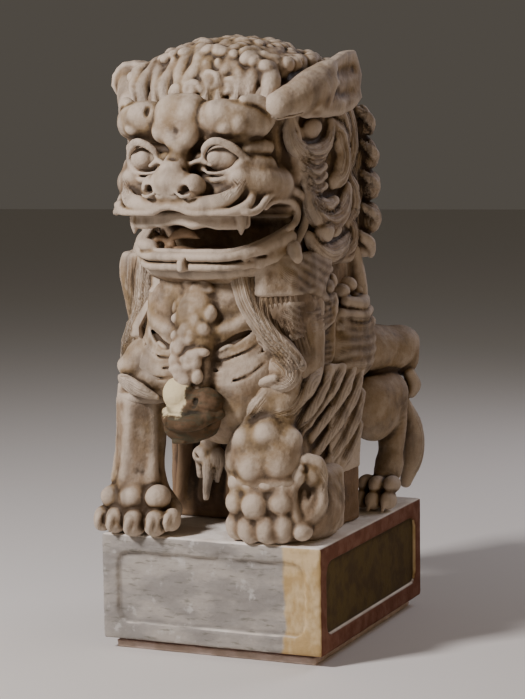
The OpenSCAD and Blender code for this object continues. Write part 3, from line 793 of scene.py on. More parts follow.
def mask_piece(stone):
    """The beast's mask on the breast: a smooth brow, slanted eye slits, lumpy nose and cheeks."""
    c = Clay((-226, -430, 216), (216, -200, 690), STEP * 0.95)
    c.add(egg((-6, -266, 566), (172, 90, 134)), blend=0)
    c.add(egg((-6, -262, 446), (200, 104, 128)), blend=40)
    c.add(egg((60, -280, 340), (120, 88, 110)), blend=40)
    c.add(egg((124, -294, 412), (84, 66, 66), (0, -10, 20)), blend=24, pair=True)
    c.add(strand([(40, -352, 520), (84, -344, 526), (126, -322, 544), (150, -294, 566)], [8, 11, 10, 6]),
          blend=22, pair=True)
    c.cut(strand([(50, -366, 478), (84, -355, 482), (122, -330, 507), (148, -296, 524)], [5, 11, 9, 4]),
          blend=3, pair=True)
    c.add(egg((90, -344, 480), (22, 10, 6), (0, -24, 18)), blend=2, pair=True)
    for line in ([(52, -364, 452), (96, -353, 452), (146, -328, 474), (172, -296, 502)],
                 [(48, -366, 428), (100, -351, 424), (152, -330, 446), (180, -296, 480)],
                 [(44, -361, 404), (100, -358, 398), (156, -352, 414), (188, -318, 446)]):
        c.cut(strand(line, [2, 3.2, 3.2, 2]), blend=4, pair=True)
    c.add(strand([(10, -330, 604), (12, -344, 560), (16, -354, 510), (18, -364, 450), (18, -366, 392)],
                 [38, 56, 54, 44, 38], flat=((0, 1, 0), 0.8)), blend=12)
    rng = np.random.default_rng(3)
    for k in range(46):
        z = 392 + 250 * (k + rng.random()) / 46
        half = np.interp(z, (392, 450, 555, 600, 642), (30, 40, 56, 44, 30))
        x = 8 + half * (2 * rng.random() - 1)
        y = np.interp(z, (392, 450, 555, 600, 642), (-402, -402, -380, -352, -336)) + 0.006 * (x - 14) ** 2
        c.add(egg((x, y, z), rng.uniform((13, 12, 11), (26, 16, 22))), blend=6)
    c.cut(egg((12, -416, 522), (4, 14, 22), (0, 14, 0)), blend=5)
    skin = c.skin()
    skin.verts[:, 0] -= 8
    skin.weather(2.4, 20)
    return make_piece("chest_mask_stone", skin, stone, "chest_mask")


def bell_piece(stone):
    """The bell that hangs at the mask's mouth: a ball with a lip, a slot and a broken tag."""
    c = Clay((-100, -462, 230), (116, -270, 430), FINE * 1.1)
    c.add(egg((4, -358, 318), (76, 72, 70)), blend=0)
    c.add(egg((-20, -388, 364), (48, 42, 44), (0, 20, 0)), blend=5)
    c.add(egg((48, -386, 344), (46, 38, 42)), blend=8)
    c.add(strand([(-70, -376, 316), (-24, -428, 302), (40, -430, 304), (88, -386, 322)], [14, 20, 20, 14]),
          blend=6)
    c.add(egg((0, -396, 282), (64, 36, 36)), blend=8)
    c.cut(strand([(-64, -410, 334), (-14, -442, 324), (26, -436, 332), (40, -420, 356)], [5, 9, 10, 8]),
          blend=4)
    c.cut(strand([(-28, -446, 306), (-26, -440, 270), (-20, -410, 240)], [4, 5, 4]), blend=5)
    c.add(block((-30, -422, 246), (8, -400, 256), 3), blend=3)
    skin = c.skin()
    skin.comb([(20, -436, 340), (60, -420, 330), (88, -384, 320)], 40, 12, 2.0)
    skin.weather(2.4, 24)
    return make_piece("bell_stone", skin, stone, "bell")


def tassel_piece(stone):
    """The knotted tassel under the bell."""
    c = Clay((-66, -320, 66), (66, -180, 352), FINE * 1.1)
    c.add(strand([(0, -240, 346), (0, -244, 280), (0, -250, 216)], [24, 22, 26]), blend=0)
    c.add(egg((-16, -262, 196), (26, 24, 24)), blend=6)
    c.add(egg((22, -256, 190), (24, 24, 28)), blend=6)
    c.add(strand([(4, -262, 180), (-2, -262, 130), (-12, -256, 84)], [20, 13, 8]), blend=6)
    c.add(strand([(-26, -256, 180), (-30, -252, 140)], [14, 8]), blend=5)
    c.add(strand([(24, -252, 170), (18, -250, 128)], [14, 6]), blend=5)
    c.cut(egg((-24, -286, 196), (12, 14, 5), (0, 40, 0)), blend=4)
    skin = c.skin()
    skin.verts[:, 0] -= 22
    skin.comb([(4, -282, 200), (-2, -276, 140), (-12, -262, 84)], 26, 7, 2.0)
    skin.weather(1.8, 20)
    return make_piece("bell_tassel_stone", skin, stone, "bell_tassel")


# ---------------------------------------------------------------- drapes and shoulders

def drape_piece(name, side, stone):
    """The combed fall of hair beside the mask, rolled along its inner border to a scroll."""
    c = Clay((60, -400, 340), (276, -110, 716), STEP)
    fall = [(84, 706), (92, 650), (108, 596), (134, 548), (166, 504), (196, 466), (216, 430), (214, 392),
            (240, 384),
            (260, 440), (260, 706)]
    c.add(leaf(BODY, fall, 30, -400, -130, axis=1, soft=18), blend=0)
    border = [(94, -322, 690), (104, -322, 640), (118, -320, 590), (146, -314, 542), (180, -304, 498),
              (212, -290, 462), (232, -280, 432), (234, -286, 404), (214, -300, 388), (186, -312, 394)]
    c.add(strand([(x + 16, y + 6, z + 4) for x, y, z in border[:7]], [24, 24, 24, 24, 24, 24, 20]), blend=12)
    c.add(strand(border, [14, 14, 14, 15, 16, 19, 22, 22, 19, 12]), blend=7)
    c.add(egg((204, -296, 424), (36, 22, 34)), blend=14)
    c.add(strand([(206, -318, 408), (172, -322, 398), (132, -326, 402)], [10, 13, 8]), blend=6)
    skin = c.skin()
    skin.comb([(x + 10, y - 16, z) for x, y, z in border], 34, 8, 1.8, ends=0.06)
    if side < 0:
        skin.mirror()
        skin.verts[:, 0] -= 20 + 46 * np.clip((skin.verts[:, 2] - 440) / 200, 0, 1)
        skin.verts[:, 1] += 26
    skin.comb([(side * 190, -300, 700), (side * 198, -296, 610), (side * 214, -280, 530),
               (side * 240, -250, 440)],
              60, 12, 2.0, ends=0.06)
    skin.weather(2.2, 30)
    return make_piece(name + "_stone", skin, stone, name)


def flaps_piece(name, side, stone):
    """Three overlapping leaves of hair that hang from the shoulder, with worn knots between."""
    c = Clay((150, -370, 376), (292, 16, 724), STEP)
    third = [(-340, 540), (-340, 480), (-300, 462), (-249, 430), (-200, 414), (-142, 410), (-84, 412),
             (-50, 440), (-50, 540)]
    second = [(-340, 590), (-340, 500), (-290, 490), (-247, 494), (-180, 500), (-120, 508), (-72, 526),
              (-58, 556), (-60, 600)]
    first = [(-350, 706), (-350, 610), (-300, 604), (-235, 606), (-180, 616), (-130, 634), (-98, 656),
             (-84, 690), (-90, 712)]
    c.add(leaf(BODY, [(-340, 706), (-340, 420), (-46, 420), (-46, 706)], 8, 100, 400), blend=0)
    c.add(leaf(BODY, third, 20, 100, 400, soft=12), blend=5)
    c.add(leaf(BODY, second, 30, 100, 400, soft=12), blend=5)
    rng = np.random.default_rng(11)
    for k in range(34):
        y = rng.uniform(-176, -60)
        z = rng.uniform(556, 668)
        r = rng.uniform(11, 22)
        c.add(egg((234, y, z), (r * 0.9, r, r), (rng.uniform(0, 90), 0, 0)), blend=5)
    c.add(leaf(BODY, first, 34, 100, 400, soft=12), blend=5)
    c.add(strand([(216, -250, 604), (232, -200, 606), (238, -150, 618), (236, -100, 646)],
                 [6, 13, 14, 8]), blend=14)
    c.cut(strand([(254, -52, 690), (256, -54, 590), (254, -50, 500), (250, -50, 410)], [3, 4, 4, 4]), blend=8)
    skin = c.skin()
    skin.comb([(250, -270, 706), (254, -210, 668), (254, -120, 636), (250, -70, 640)], 70, 23, 0.5, ends=0.1)
    skin.comb([(246, -320, 556), (252, -200, 528), (254, -80, 540)], 46, 15, 1.4, ends=0.1)
    skin.comb([(236, -320, 500), (244, -200, 446), (246, -60, 440)], 46, 15, 1.4, ends=0.1)
    if side < 0:
        skin.mirror()
        skin.verts[:, 0] += np.interp(skin.verts[:, 2], (380, 420, 520, 575, 625), (-28, -34, -34, 0, 34))
    skin.weather(3.0, 24)
    return make_piece(name + "_stone", skin, stone, name)


def lock_piece(name, side, stone):
    """The barrel of hair on the shoulder's corner: rolls above, a banded cushion below."""
    c = Clay((170, -90, 356), (290, 184, 644), STEP)
    c.add(block((176, -52, 384), (258, 140, 560), 38), blend=0)
    c.add(egg((226, 50, 450), (50, 104, 86)), blend=20)
    c.add(egg((216, 46, 440), (48, 104, 72)), blend=24)
    for z, y0, y1, r in ((566, 0, 104, 20), (536, -24, 124, 21), (506, -34, 138, 20)):
        c.add(strand([(240, y0, z + 4), (254, (y0 + y1) / 2, z - 4), (238, y1, z + 4)],
                     [r * 0.8, r, r * 0.8]),
              blend=3)
    for y, z, r in ((6, 598, 24), (44, 612, 26), (84, 594, 24), (20, 576, 22), (64, 578, 22), (110, 568, 20)):
        c.add(egg((222, y, z), (24, r, r * 0.8)), blend=5)
    skin = c.skin()
    skin.comb([(262, -60, 470), (266, 50, 462), (250, 150, 470)], 70, 26, 2.4, ends=0.06)
    if side < 0:
        skin.mirror()
    skin.weather(2.2, 30)
    return make_piece(name + "_stone", skin, stone, name)


def shoulder_piece(stone):
    """The right shoulder above the leg, with its hanging leaf and cuff."""
    c = Clay((-290, -410, 318), (-80, -120, 520), STEP)
    c.add(egg((-178, -256, 430), (76, 92, 70)), blend=0)
    c.add(egg((-196, -310, 420), (56, 44, 36)), blend=10)
    c.add(egg((-140, -322, 392), (56, 44, 38)), blend=10)
    c.add(strand([(-254, -262, 342), (-234, -318, 342), (-196, -346, 342), (-150, -330, 342),
                  (-118, -284, 342)],
                 14), blend=8)
    c.add(block((-250, -336, 328), (-124, -180, 384), 16), blend=10)
    c.add(strand([(-222, -354, 396), (-190, -374, 386), (-150, -376, 368), (-112, -358, 350)], [8, 20, 20, 8],
                 flat=((0, 1, 0.2), 0.6)), blend=3)
    c.cut(strand([(-244, -340, 404), (-206, -376, 406), (-150, -380, 400)], [3, 6, 3]), blend=4)
    skin = c.skin()
    skin.comb([(-222, -376, 394), (-186, -386, 384), (-118, -364, 350)], 20, 8, 1.6)
    skin.weather(2.0, 28)
    return make_piece("right_shoulder_stone", skin, stone, "right_shoulder")


# ---------------------------------------------------------------- legs

def paw(c, at, wide, lift=0.0, spans=(-1.0, -0.34, 0.34, 0.96)):
    """A lion's paw in clay: knuckles above, toes below and claws; at is the middle of the toes."""
    x0, y0, z0 = at
    for s in spans:
        out = 1 - 0.42 * s * s
        x = x0 + s * wide
        c.add(egg((x, y0 + 14 - 26 * out, z0 + 90 + lift), (29, 38, 31)), blend=6)
        c.add(egg((x, y0 - 6 - 30 * out, z0 + 40), (28, 38, 30)), blend=5)
        c.add(egg((x, y0 - 4 - 20 * out, z0 + 20), (25, 40, 20)), blend=6)
        y = y0 - 42 - 30 * out
        c.add(strand([(x, y + 14, z0 + 34), (x + 1, y - 2, z0 + 24), (x + 1, y - 2, z0 + 6)], [11, 8, 4]),
              blend=2)
        c.cut(strand([(x - 11, y - 4, z0 + 34), (x - 11, y - 2, z0 + 8)], [2, 2]), blend=2)
        c.cut(strand([(x + 12, y - 4, z0 + 34), (x + 12, y - 2, z0 + 8)], [2, 2]), blend=2)
    return c


def right_foreleg_piece(stone):
    """The standing foreleg: a fluted column on a broad paw of three knuckles and four toes."""
    c = Clay((-316, -446, -3), (-50, -180, 352), STEP)
    c.add(strand([(-198, -292, 350), (-198, -296, 240), (-200, -302, 150), (-192, -312, 90)],
                 [62, 62, 62, 74]), blend=0)
    c.add(strand([(-198, -340, 340), (-200, -346, 240), (-204, -352, 140)], [16, 18, 22]), blend=12)
    c.add(strand([(-242, -316, 330), (-246, -318, 220), (-250, -330, 130)], [14, 14, 20]), blend=10)
    c.add(strand([(-152, -320, 330), (-152, -322, 220), (-148, -334, 130)], [14, 14, 20]), blend=10)
    c.add(egg((-184, -308, 54), (102, 76, 54)), blend=26)
    for x, y, z, r in ((-248, -356, 88, 32), (-180, -364, 94, 34), (-114, -356, 96, 32)):
        c.add(egg((x, y, z), (r, r * 1.1, r)), blend=9)
    for x, y, z, r in ((-270, -366, 36, 26), (-224, -380, 38, 27), (-166, -384, 36, 29), (-108, -376, 38, 28),
                       (-74, -356, 46, 22)):
        c.add(egg((x, y, z), (r, r * 1.15, r * 1.1)), blend=7)
        c.add(egg((x, y - 4, z - 16), (r * 0.9, r * 1.2, r * 0.8)), blend=8)
        c.add(strand([(x + 1, y - r, z + 6), (x + 2, y - r - 10, z - 8), (x + 2, y - r - 8, z - 28)],
                     [11, 8, 3.5]), blend=2)
        c.cut(strand([(x - 11, y - r - 12, z - 4), (x - 9, y - r - 10, z - 30)], 2), blend=2)
        c.cut(strand([(x + 14, y - r - 12, z - 4), (x + 12, y - r - 10, z - 30)], 2), blend=2)
    c.cut(block((-400, -500, -60), (0, 0, 0.5), 0), blend=0)
    return make_piece("right_foreleg_stone", c.skin().weather(2.4, 28), stone, "right_foreleg")


FORELEG_RIDGES = [
    ([(236, -160, 410), (236, -214, 376), (222, -270, 334), (196, -312, 300)], 26),
    ([(242, -110, 404), (240, -170, 350), (236, -226, 306), (222, -278, 268)], 24),
    ([(250, -54, 404), (246, -110, 360), (238, -176, 312), (232, -256, 262)], 21),
    ([(252, 0, 398), (252, -50, 352), (246, -110, 306), (236, -200, 248)], 21),
    ([(252, 44, 392), (254, 10, 340), (252, -50, 290), (244, -130, 236), (236, -190, 200)], 20),
    ([(252, 54, 330), (254, 10, 270), (252, -50, 222), (244, -130, 170)], 19),
    ([(252, 44, 250), (253, 0, 202), (252, -60, 160)], 17),
    ([(214, -222, 408), (190, -276, 384), (160, -312, 350), (126, -326, 312)], 24),
    ([(196, -230, 420), (150, -296, 404), (112, -312, 370), (90, -316, 320)], 18),
]


def left_foreleg_piece(stone):
    """The raised foreleg: ridged hair runs down from the elbow to a paw set on the cub."""
    c = Clay((50, -426, 120), (284, 100, 432), STEP)
    fan = [(-322, 176), (-330, 240), (-320, 330), (-290, 400), (-250, 424), (-100, 424), (-100, 134),
           (-200, 140)]
    c.add(prism(fan, 116, 240, axis=0, soft=34), blend=0)
    c.add(prism([(-120, 424), (66, 412), (56, 300), (40, 142), (-120, 134)], 244, 256, axis=0, soft=5),
          blend=12)
    for path, radius in FORELEG_RIDGES:
        ends = np.interp(np.linspace(0, 1, len(path)), (0, 0.3, 1), (0.7, 1, 0.7)) * radius
        c.add(strand(path, ends), blend=7)
    c.add(egg((160, -270, 350), (76, 58, 74)), blend=24)
    c.add(egg((168, -312, 212), (100, 66, 88)), blend=26)
    for x, y, z, r in ((134, -336, 256, 35), (190, -334, 268, 36), (240, -304, 256, 29)):
        c.add(egg((x, y, z), (r, r * 1.1, r)), blend=14)
    for x, y, z, r in ((104, -326, 202, 30), (162, -350, 192, 38), (224, -336, 198, 32), (82, -308, 182, 24)):
        c.add(egg((x, y, z), (r, r * 1.1, r * 1.1)), blend=14)
    c.add(egg((168, -312, 156), (98, 58, 34)), blend=10)
    skin = c.skin()
    for path, radius in FORELEG_RIDGES:
        skin.comb(path, radius * 1.3, 10, 2.4, ends=0.1)
    skin.weather(3.2, 24)
    return make_piece("left_foreleg_stone", skin, stone, "left_foreleg")


def cub_piece(stone):
    """The cub under the raised paw: tumbling on its back, paws and face turned up."""
    c = Clay((50, -430, -3), (336, -70, 232), STEP)
    c.add(prism([(80, -320), (126, -356), (240, -350), (264, -300), (290, -200), (286, -110), (100, -110),
                 (80, -200)], 0, 176, soft=26), blend=0)
    c.add(egg((270, -220, 80), (46, 100, 84)), blend=26)
    for x, y, z, r in ((110, -336, 146, 28), (148, -344, 140, 24), (196, -342, 150, 27),
                       (234, -326, 140, 24)):
        c.add(egg((x, y, z), (r, r, r * 0.9)), blend=13)
    for x, y, z, r in ((112, -340, 98, 33), (170, -352, 96, 38), (228, -336, 104, 31)):
        c.add(egg((x, y, z), (r, r * 1.05, r * 1.05)), blend=14)
    for x, y, z, r in ((104, -334, 40, 30), (148, -350, 36, 31), (196, -350, 40, 30), (236, -336, 44, 28)):
        c.add(egg((x, y, z), (r, r, r * 1.25)), blend=12)
    # the cub's face and ear, its hind leg and foot
    c.add(egg((276, -266, 172), (36, 42, 42)), blend=12)
    c.add(strand([(250, -306, 196), (272, -298, 208), (298, -280, 202), (308, -268, 176), (306, -266, 148),
                  (296, -272, 124)], [12, 15, 16, 15, 14, 12]), blend=9)
    c.add(egg((262, -314, 168), (20, 18, 34), (0, 16, 0)), blend=6)
    c.add(strand([(300, -266, 140), (304, -272, 104), (292, -284, 76), (276, -304, 56)], [18, 20, 20, 18]),
          blend=8)
    c.add(strand([(252, -322, 144), (254, -324, 104), (262, -322, 66), (270, -318, 44)], [14, 15, 16, 18]),
          blend=7)
    c.add(egg((278, -318, 34), (24, 28, 22)), blend=8)
    c.cut(egg((284, -316, 128), (7, 26, 22), (0, -14, 0)), blend=6)
    c.cut(egg((286, -318, 184), (6, 16, 8), (0, 30, 0)), blend=5)
    c.cut(block((0, -500, -60), (400, 0, 0.5), 0), blend=0)
    skin = c.skin()
    skin.comb([(304, -266, 206), (322, -256, 150), (310, -262, 84)], 26, 8, 2.0)
    skin.weather(3.0, 22)
    return make_piece("cub_stone", skin, stone, "cub")


def wall_piece(stone):
    """The block left standing under the breast, with folds of hair carved on its face."""
    c = Clay((-246, -140, -3), (268, 72, 352), STEP * 1.3)
    c.add(block((-230, -112, 0.5), (250, 50, 338), 10), blend=0)
    for x in (-190, -120, -40, 40, 120, 190):
        c.add(strand([(x, -112, 330), (x + 12, -118, 200), (x - 8, -116, 60)], [14, 18, 10]), blend=20)
    c.cut(block((-400, -500, -60), (400, 400, 0.5), 0), blend=0)
    return make_piece("support_wall_stone", c.skin().weather(3.0, 50), stone, "support_wall")


def hind_piece(stone):
    """Rump and belly between the hind legs."""
    c = Clay((-200, 60, 250), (200, 384, 516), STEP * 1.2)
    c.add(block((-150, 120, 276), (150, 340, 460), 60), blend=0)
    c.add(egg((0, 250, 400), (160, 104, 84)), blend=30)
    c.add(egg((0, 130, 390), (150, 60, 80)), blend=20)
    return make_piece("hindquarters_stone", c.skin().weather(2.2, 40), stone, "hindquarters")


def hind_leg_piece(name, side, stone):
    """Haunch, thigh, shank and paw of a crouching hind leg."""
    c = Clay((118, 80, -3), (330, 440, 520), STEP * 1.1)
    c.add(egg((194, 248, 424), (74, 136, 68), (-6, 0, -8)), blend=0)
    c.add(egg((226, 310, 424), (58, 86, 58), (14, 0, -10)), blend=14)
    c.add(egg((232, 352, 400), (44, 44, 58)), blend=10)
    c.add(egg((212, 206, 272), (66, 90, 90), (20, 0, 0)), blend=4)
    c.add(egg((226, 236, 300), (52, 84, 70), (20, 0, 0)), blend=12)
    c.add(strand([(220, 280, 300), (224, 290, 220), (226, 284, 150), (226, 268, 96)], [54, 42, 34, 34]),
          blend=22)
    c.add(strand([(224, 276, 110), (228, 244, 76), (230, 216, 46)], [36, 34, 34]), blend=16)
    c.add(strand([(256, 338, 352), (262, 350, 322), (256, 348, 298)], [17, 21, 16]), blend=3)
    c.add(strand([(236, 350, 270), (252, 372, 200), (250, 372, 120), (238, 350, 50)], [16, 26, 28, 16]),
          blend=8)
    for x, y in ((194, 178), (232, 164), (266, 182)):
        c.add(egg((x, y + 22, 68), (21, 36, 24)), blend=5)
        c.add(egg((x, y, 30), (21, 32, 26)), blend=5)
        c.add(strand([(x, y - 26, 30), (x, y - 36, 7)], [9, 4]), blend=3)
    c.cut(strand([(276, 120, 352), (290, 220, 350), (284, 310, 352)], [4, 7, 4]), blend=8)
    c.cut(block((0, -500, -60), (400, 500, 0.5), 0), blend=0)
    skin = c.skin()
    skin.comb([(254, 366, 270), (276, 390, 190), (270, 384, 110), (250, 360, 50)], 28, 9, 2.0)
    if side < 0:
        skin.mirror()
    skin.weather(2.4, 34)
    return make_piece(name + "_stone", skin, stone, name)


def tail_piece(stone):
    """The tail: laid up the middle of the rump in three combed flames."""
    c = Clay((-150, 300, 20), (150, 430, 520), STEP)
    c.add(strand([(0, 360, 90), (0, 374, 200), (0, 376, 320), (0, 350, 440)], [34, 40, 40, 26]), blend=0)
    c.add(strand([(20, 370, 110), (60, 382, 190), (84, 384, 280), (60, 372, 360)], [26, 30, 26, 12]),
          blend=6, pair=True)
    c.add(strand([(10, 384, 90), (0, 392, 210), (0, 392, 330), (0, 372, 450)], [20, 24, 24, 12]), blend=5)
    skin = c.skin()
    for s in (-1, 1):
        skin.comb([(s * 20, 396, 110), (s * 60, 410, 190), (s * 84, 412, 280), (s * 60, 390, 360)], 28, 8,
                  2.4)
    skin.comb([(0, 404, 90), (0, 416, 210), (0, 416, 330), (0, 390, 450)], 24, 8, 2.4)
    skin.weather(2.0, 30)
    return make_piece("tail_stone", skin, stone, "tail")


# ---------------------------------------------------------------- plinth, mortar and bed slab

WIDE, DEEP = 300.0, 371.0                    # half the plinth's width and depth, mm
SEAT, TOP = 28.0, 298.0                      # underside and top of the plinth block, mm


def panel(half, margin=44, scoop=26):
    """Outline of a sunk panel with scooped corners: across from -half, and up."""
    u, low, high = half - margin, SEAT + margin, TOP - margin
    corner = [(-u, low + scoop), (-u + scoop * 0.3, low + scoop * 0.3), (-u + scoop, low)]
    bottom = corner + [(-x, z) for x, z in corner[::-1]]
    return bottom + [(x, low + high - z) for x, z in bottom[::-1]]


def plinth_piece(stone):
    """The plinth: a chipped block with a sunk, rough panel on each side."""
    c = Clay((-312, -384, 18), (312, 384, 308), STEP * 1.5)
    c.add(block((-WIDE, -DEEP, SEAT), (WIDE, DEEP, TOP), 3), blend=0)
    for s in (-1, 1):
        c.cut(prism(panel(WIDE), s * (DEEP + 1) - 10.5, s * (DEEP + 1) + 10.5, axis=1, soft=2), blend=4)
        c.cut(prism(panel(DEEP), s * (WIDE + 1) - 10.5, s * (WIDE + 1) + 10.5, axis=0, soft=2), blend=4)
    # spalls on the front face and chips along its upper arris
    for x, z, r, h in ((196, 240, 34, 22), (222, 160, 40, 30), (150, 130, 30, 16), (40, 262, 26, 8),
                       (-120, 236, 30, 12), (60, 120, 36, 14)):
        c.cut(egg((x, -DEEP - 2, z), (r, 9, h)), blend=8)
    for x, r in ((-40, 16), (36, 34), (92, 40), (118, 14), (-180, 10)):
        c.cut(egg((x, -DEEP - 2, TOP + 3), (r, 9, 7)), blend=4)
    skin = c.skin()
    rough = np.clip((skin.verts[:, 1] < -DEEP + 14) & (skin.verts[:, 2] < TOP - 12), 0, 1)
    skin.verts[:, 1] += rough * 3.4 * noise(skin.verts * (0.5, 1, 2), 24, 4)
    skin.weather(1.0, 60)
    return make_piece("plinth_block_stone", skin, stone, "plinth_block", lion=False)


def slab_piece(name, low, high, rough, material):
    """A plain slab with uneven edges."""
    low, high = np.array(low, float), np.array(high, float)
    c = Clay(low - 8, high + 8, 5.0)
    c.add(block(low, high, 3), blend=0)
    skin = c.skin()
    push = noise(skin.verts, 30, 3) * rough
    for axis, half in ((0, high[0]), (1, high[1])):
        skin.verts[:, axis] -= np.where(np.abs(skin.verts[:, axis]) > half - 4, np.abs(push), 0) \
            * np.sign(skin.verts[:, axis])
    return make_piece(name + "_stone", skin, material, name, lion=False)


# ---------------------------------------------------------------- materials

def linear(code):
    """sRGB hex code to linear RGBA."""
    rgb = [int(code[i:i + 2], 16) / 255 for i in (1, 3, 5)]
    return [c / 12.92 if c <= 0.04045 else ((c + 0.055) / 1.055) ** 2.4 for c in rgb] + [1.0]


class Shade:
    """A node material with a small helper for adding nodes."""

    def __init__(self, name):
        self.material = bpy.data.materials.new(name)
        self.material.use_nodes = True
        self.tree = self.material.node_tree
        self.tree.nodes.clear()
        self.place = self.node("TexCoord").outputs["Object"]

    def node(self, kind, inputs=None, **settings):
        """Adds a node; inputs maps sockets to values or to other nodes' output sockets."""
        n = self.tree.nodes.new("ShaderNode" + kind)
        for key, value in settings.items():
            setattr(n, key, value)
        for key, value in (inputs or {}).items():
            if isinstance(value, bpy.types.NodeSocket):
                self.tree.links.new(value, n.inputs[key])
            else:
                n.inputs[key].default_value = value
        return n

    def noise(self, size, detail=3.0, stretch=(1, 1, 1), rough=0.55):
        """Noise whose features are about size mm across, from 0 to 1."""
        where = self.place
        if stretch != (1, 1, 1):
            where = self.node("Mapping", {"Vector": self.place, "Scale": stretch}).outputs[0]
        return self.node("TexNoise", {"Vector": where, "Scale": 1000 / size, "Detail": detail,
                                      "Roughness": rough}).outputs["Fac"]

    def span(self, value, low, high, top=1.0):
        """Smooth step: 0 below low, top above high."""
        return self.node("MapRange", {0: value, 1: low, 2: high, 3: 0.0, 4: top},
                         interpolation_type="SMOOTHSTEP").outputs[0]

    def mix(self, factor, a, b):
        """Colour a where factor is 0, b where it is 1; hex codes or sockets."""
        a, b = (linear(c) if isinstance(c, str) else c for c in (a, b))
        return self.node("Mix", {0: factor, 6: a, 7: b}, data_type="RGBA").outputs[2]

    def math(self, how, a, b=0.0, c=0.0):
        """One arithmetic step."""
        return self.node("Math", {0: a, 1: b, 2: c}, operation=how).outputs[0]

    def read(self, name):
        """A value stored on the mesh."""
        return self.node("Attribute", attribute_name=name).outputs["Fac"]

    def finish(self, colour, rough, heights, **more):
        """Closes the material: heights is a list of (height socket, depth in mm) for bumps."""
        normal = None
        for height, depth in heights:
            inputs = {"Height": height, "Distance": depth * MM, "Strength": 1.0}
            if normal:
                inputs["Normal"] = normal
            normal = self.node("Bump", inputs).outputs[0]
        colour = linear(colour) if isinstance(colour, str) else colour
        inputs = {"Base Color": colour, "Roughness": rough, **more}
        if normal:
            inputs["Normal"] = normal
        shader = self.node("BsdfPrincipled", inputs)
        out = self.node("OutputMaterial")
        self.tree.links.new(shader.outputs[0], out.inputs[0])
        return self.material


def sandstone(name, body, pale, rose, dirt_and_shade, amount=1.0):
    """Weathered sandstone: rose and buff patches, pale patches, dark stains and streaks, a painted highlight
    on ridges and edges, painted shade in the hollows and a fine grain; hair lines 3.4 mm apart follow the
    combed locks, coarser than real tool marks so that they show."""
    s = Shade(name)
    patches = s.span(s.noise(170, 3), 0.40, 0.62)
    colour = s.mix(patches, body, rose)
    colour = s.mix(s.span(s.noise(46, 4), 0.46, 0.70, 0.45), colour, pale)
    colour = s.mix(s.span(s.noise(70, 5), 0.50, 0.66, 0.5), colour, dirt_and_shade)
    hollow = s.read("hollow")
    # Painted highlight: ridges and edges, where hollow is below 0, are lightened towards the pale colour,
    # broken up with noise.
    worn = s.span(s.math("ADD", s.math("MULTIPLY", hollow, -1.0), s.math("MULTIPLY", s.noise(24, 4), 0.35)),
                  0.16, 0.72, 0.8)
    colour = s.mix(worn, colour, pale)
    # Painted shade: the hollows are darkened towards the dark colour, mottled with noise; amount sets its
    # strength.
    painted_shade = s.span(s.math("ADD", hollow, s.math("MULTIPLY", s.noise(18, 5), 0.5)), 0.18, 0.60, 0.95 * amount)
    colour = s.mix(painted_shade, colour, dirt_and_shade)
    streak = s.span(s.noise(60, 3, (1, 1, 0.22)), 0.50, 0.70, 0.4)
    colour = s.mix(streak, colour, dirt_and_shade)
    colour = s.mix(s.span(s.noise(2.2, 2), 0.56, 0.72, 0.25), colour, dirt_and_shade)
    hair = s.math("SINE", s.math("MULTIPLY", s.read("strand"), 2 * math.pi / 3.4))
    lines = s.math("MULTIPLY", hair, s.read("combed"))
    colour = s.mix(s.span(lines, 0.2, 1.0, 0.25), colour, dirt_and_shade)
    return s.finish(colour, 0.66, [(s.noise(9, 4), 2.0), (s.noise(1.6, 2), 0.4), (lines, 0.5)],
                    **{"Specular IOR Level": 0.4})


def bell_sandstone():
    """The bell's stone: brown and olive bands under a cream patch at the upper left, partly a pale stain and
    partly a painted highlight, with painted shade in its hollows.
    """
    s = Shade("sandstone_banded_brown")
    bands = s.noise(26, 4, (0.6, 1, 2.6))
    colour = s.mix(s.span(bands, 0.42, 0.60), "#54402a", "#4a4230")
    colour = s.mix(s.span(s.noise(40, 3), 0.5, 0.66, 0.7), colour, "#6e5640")
    parts = s.node("SeparateXYZ", {0: s.place}).outputs
    # Cream patch where x is low and z is high, at the bell's upper left: partly a pale stain, partly a
    # painted highlight.
    wobble = s.math("MULTIPLY_ADD", s.noise(30, 4), 0.05, -0.025)
    left = s.span(s.math("ADD", parts[0], wobble), -0.030, -0.038)
    high = s.span(s.math("ADD", parts[2], wobble), 0.612, 0.622)
    colour = s.mix(s.math("MULTIPLY", left, high), colour, "#d8c8a0")
    # Painted shade in the bell's hollows.
    colour = s.mix(s.span(s.read("hollow"), 0.15, 0.6, 0.9), colour, "#2a2418")
    return s.finish(colour, 0.8, [(s.noise(8, 4), 1.4), (s.noise(1.6, 2), 0.3)],
                    **{"Specular IOR Level": 0.3})


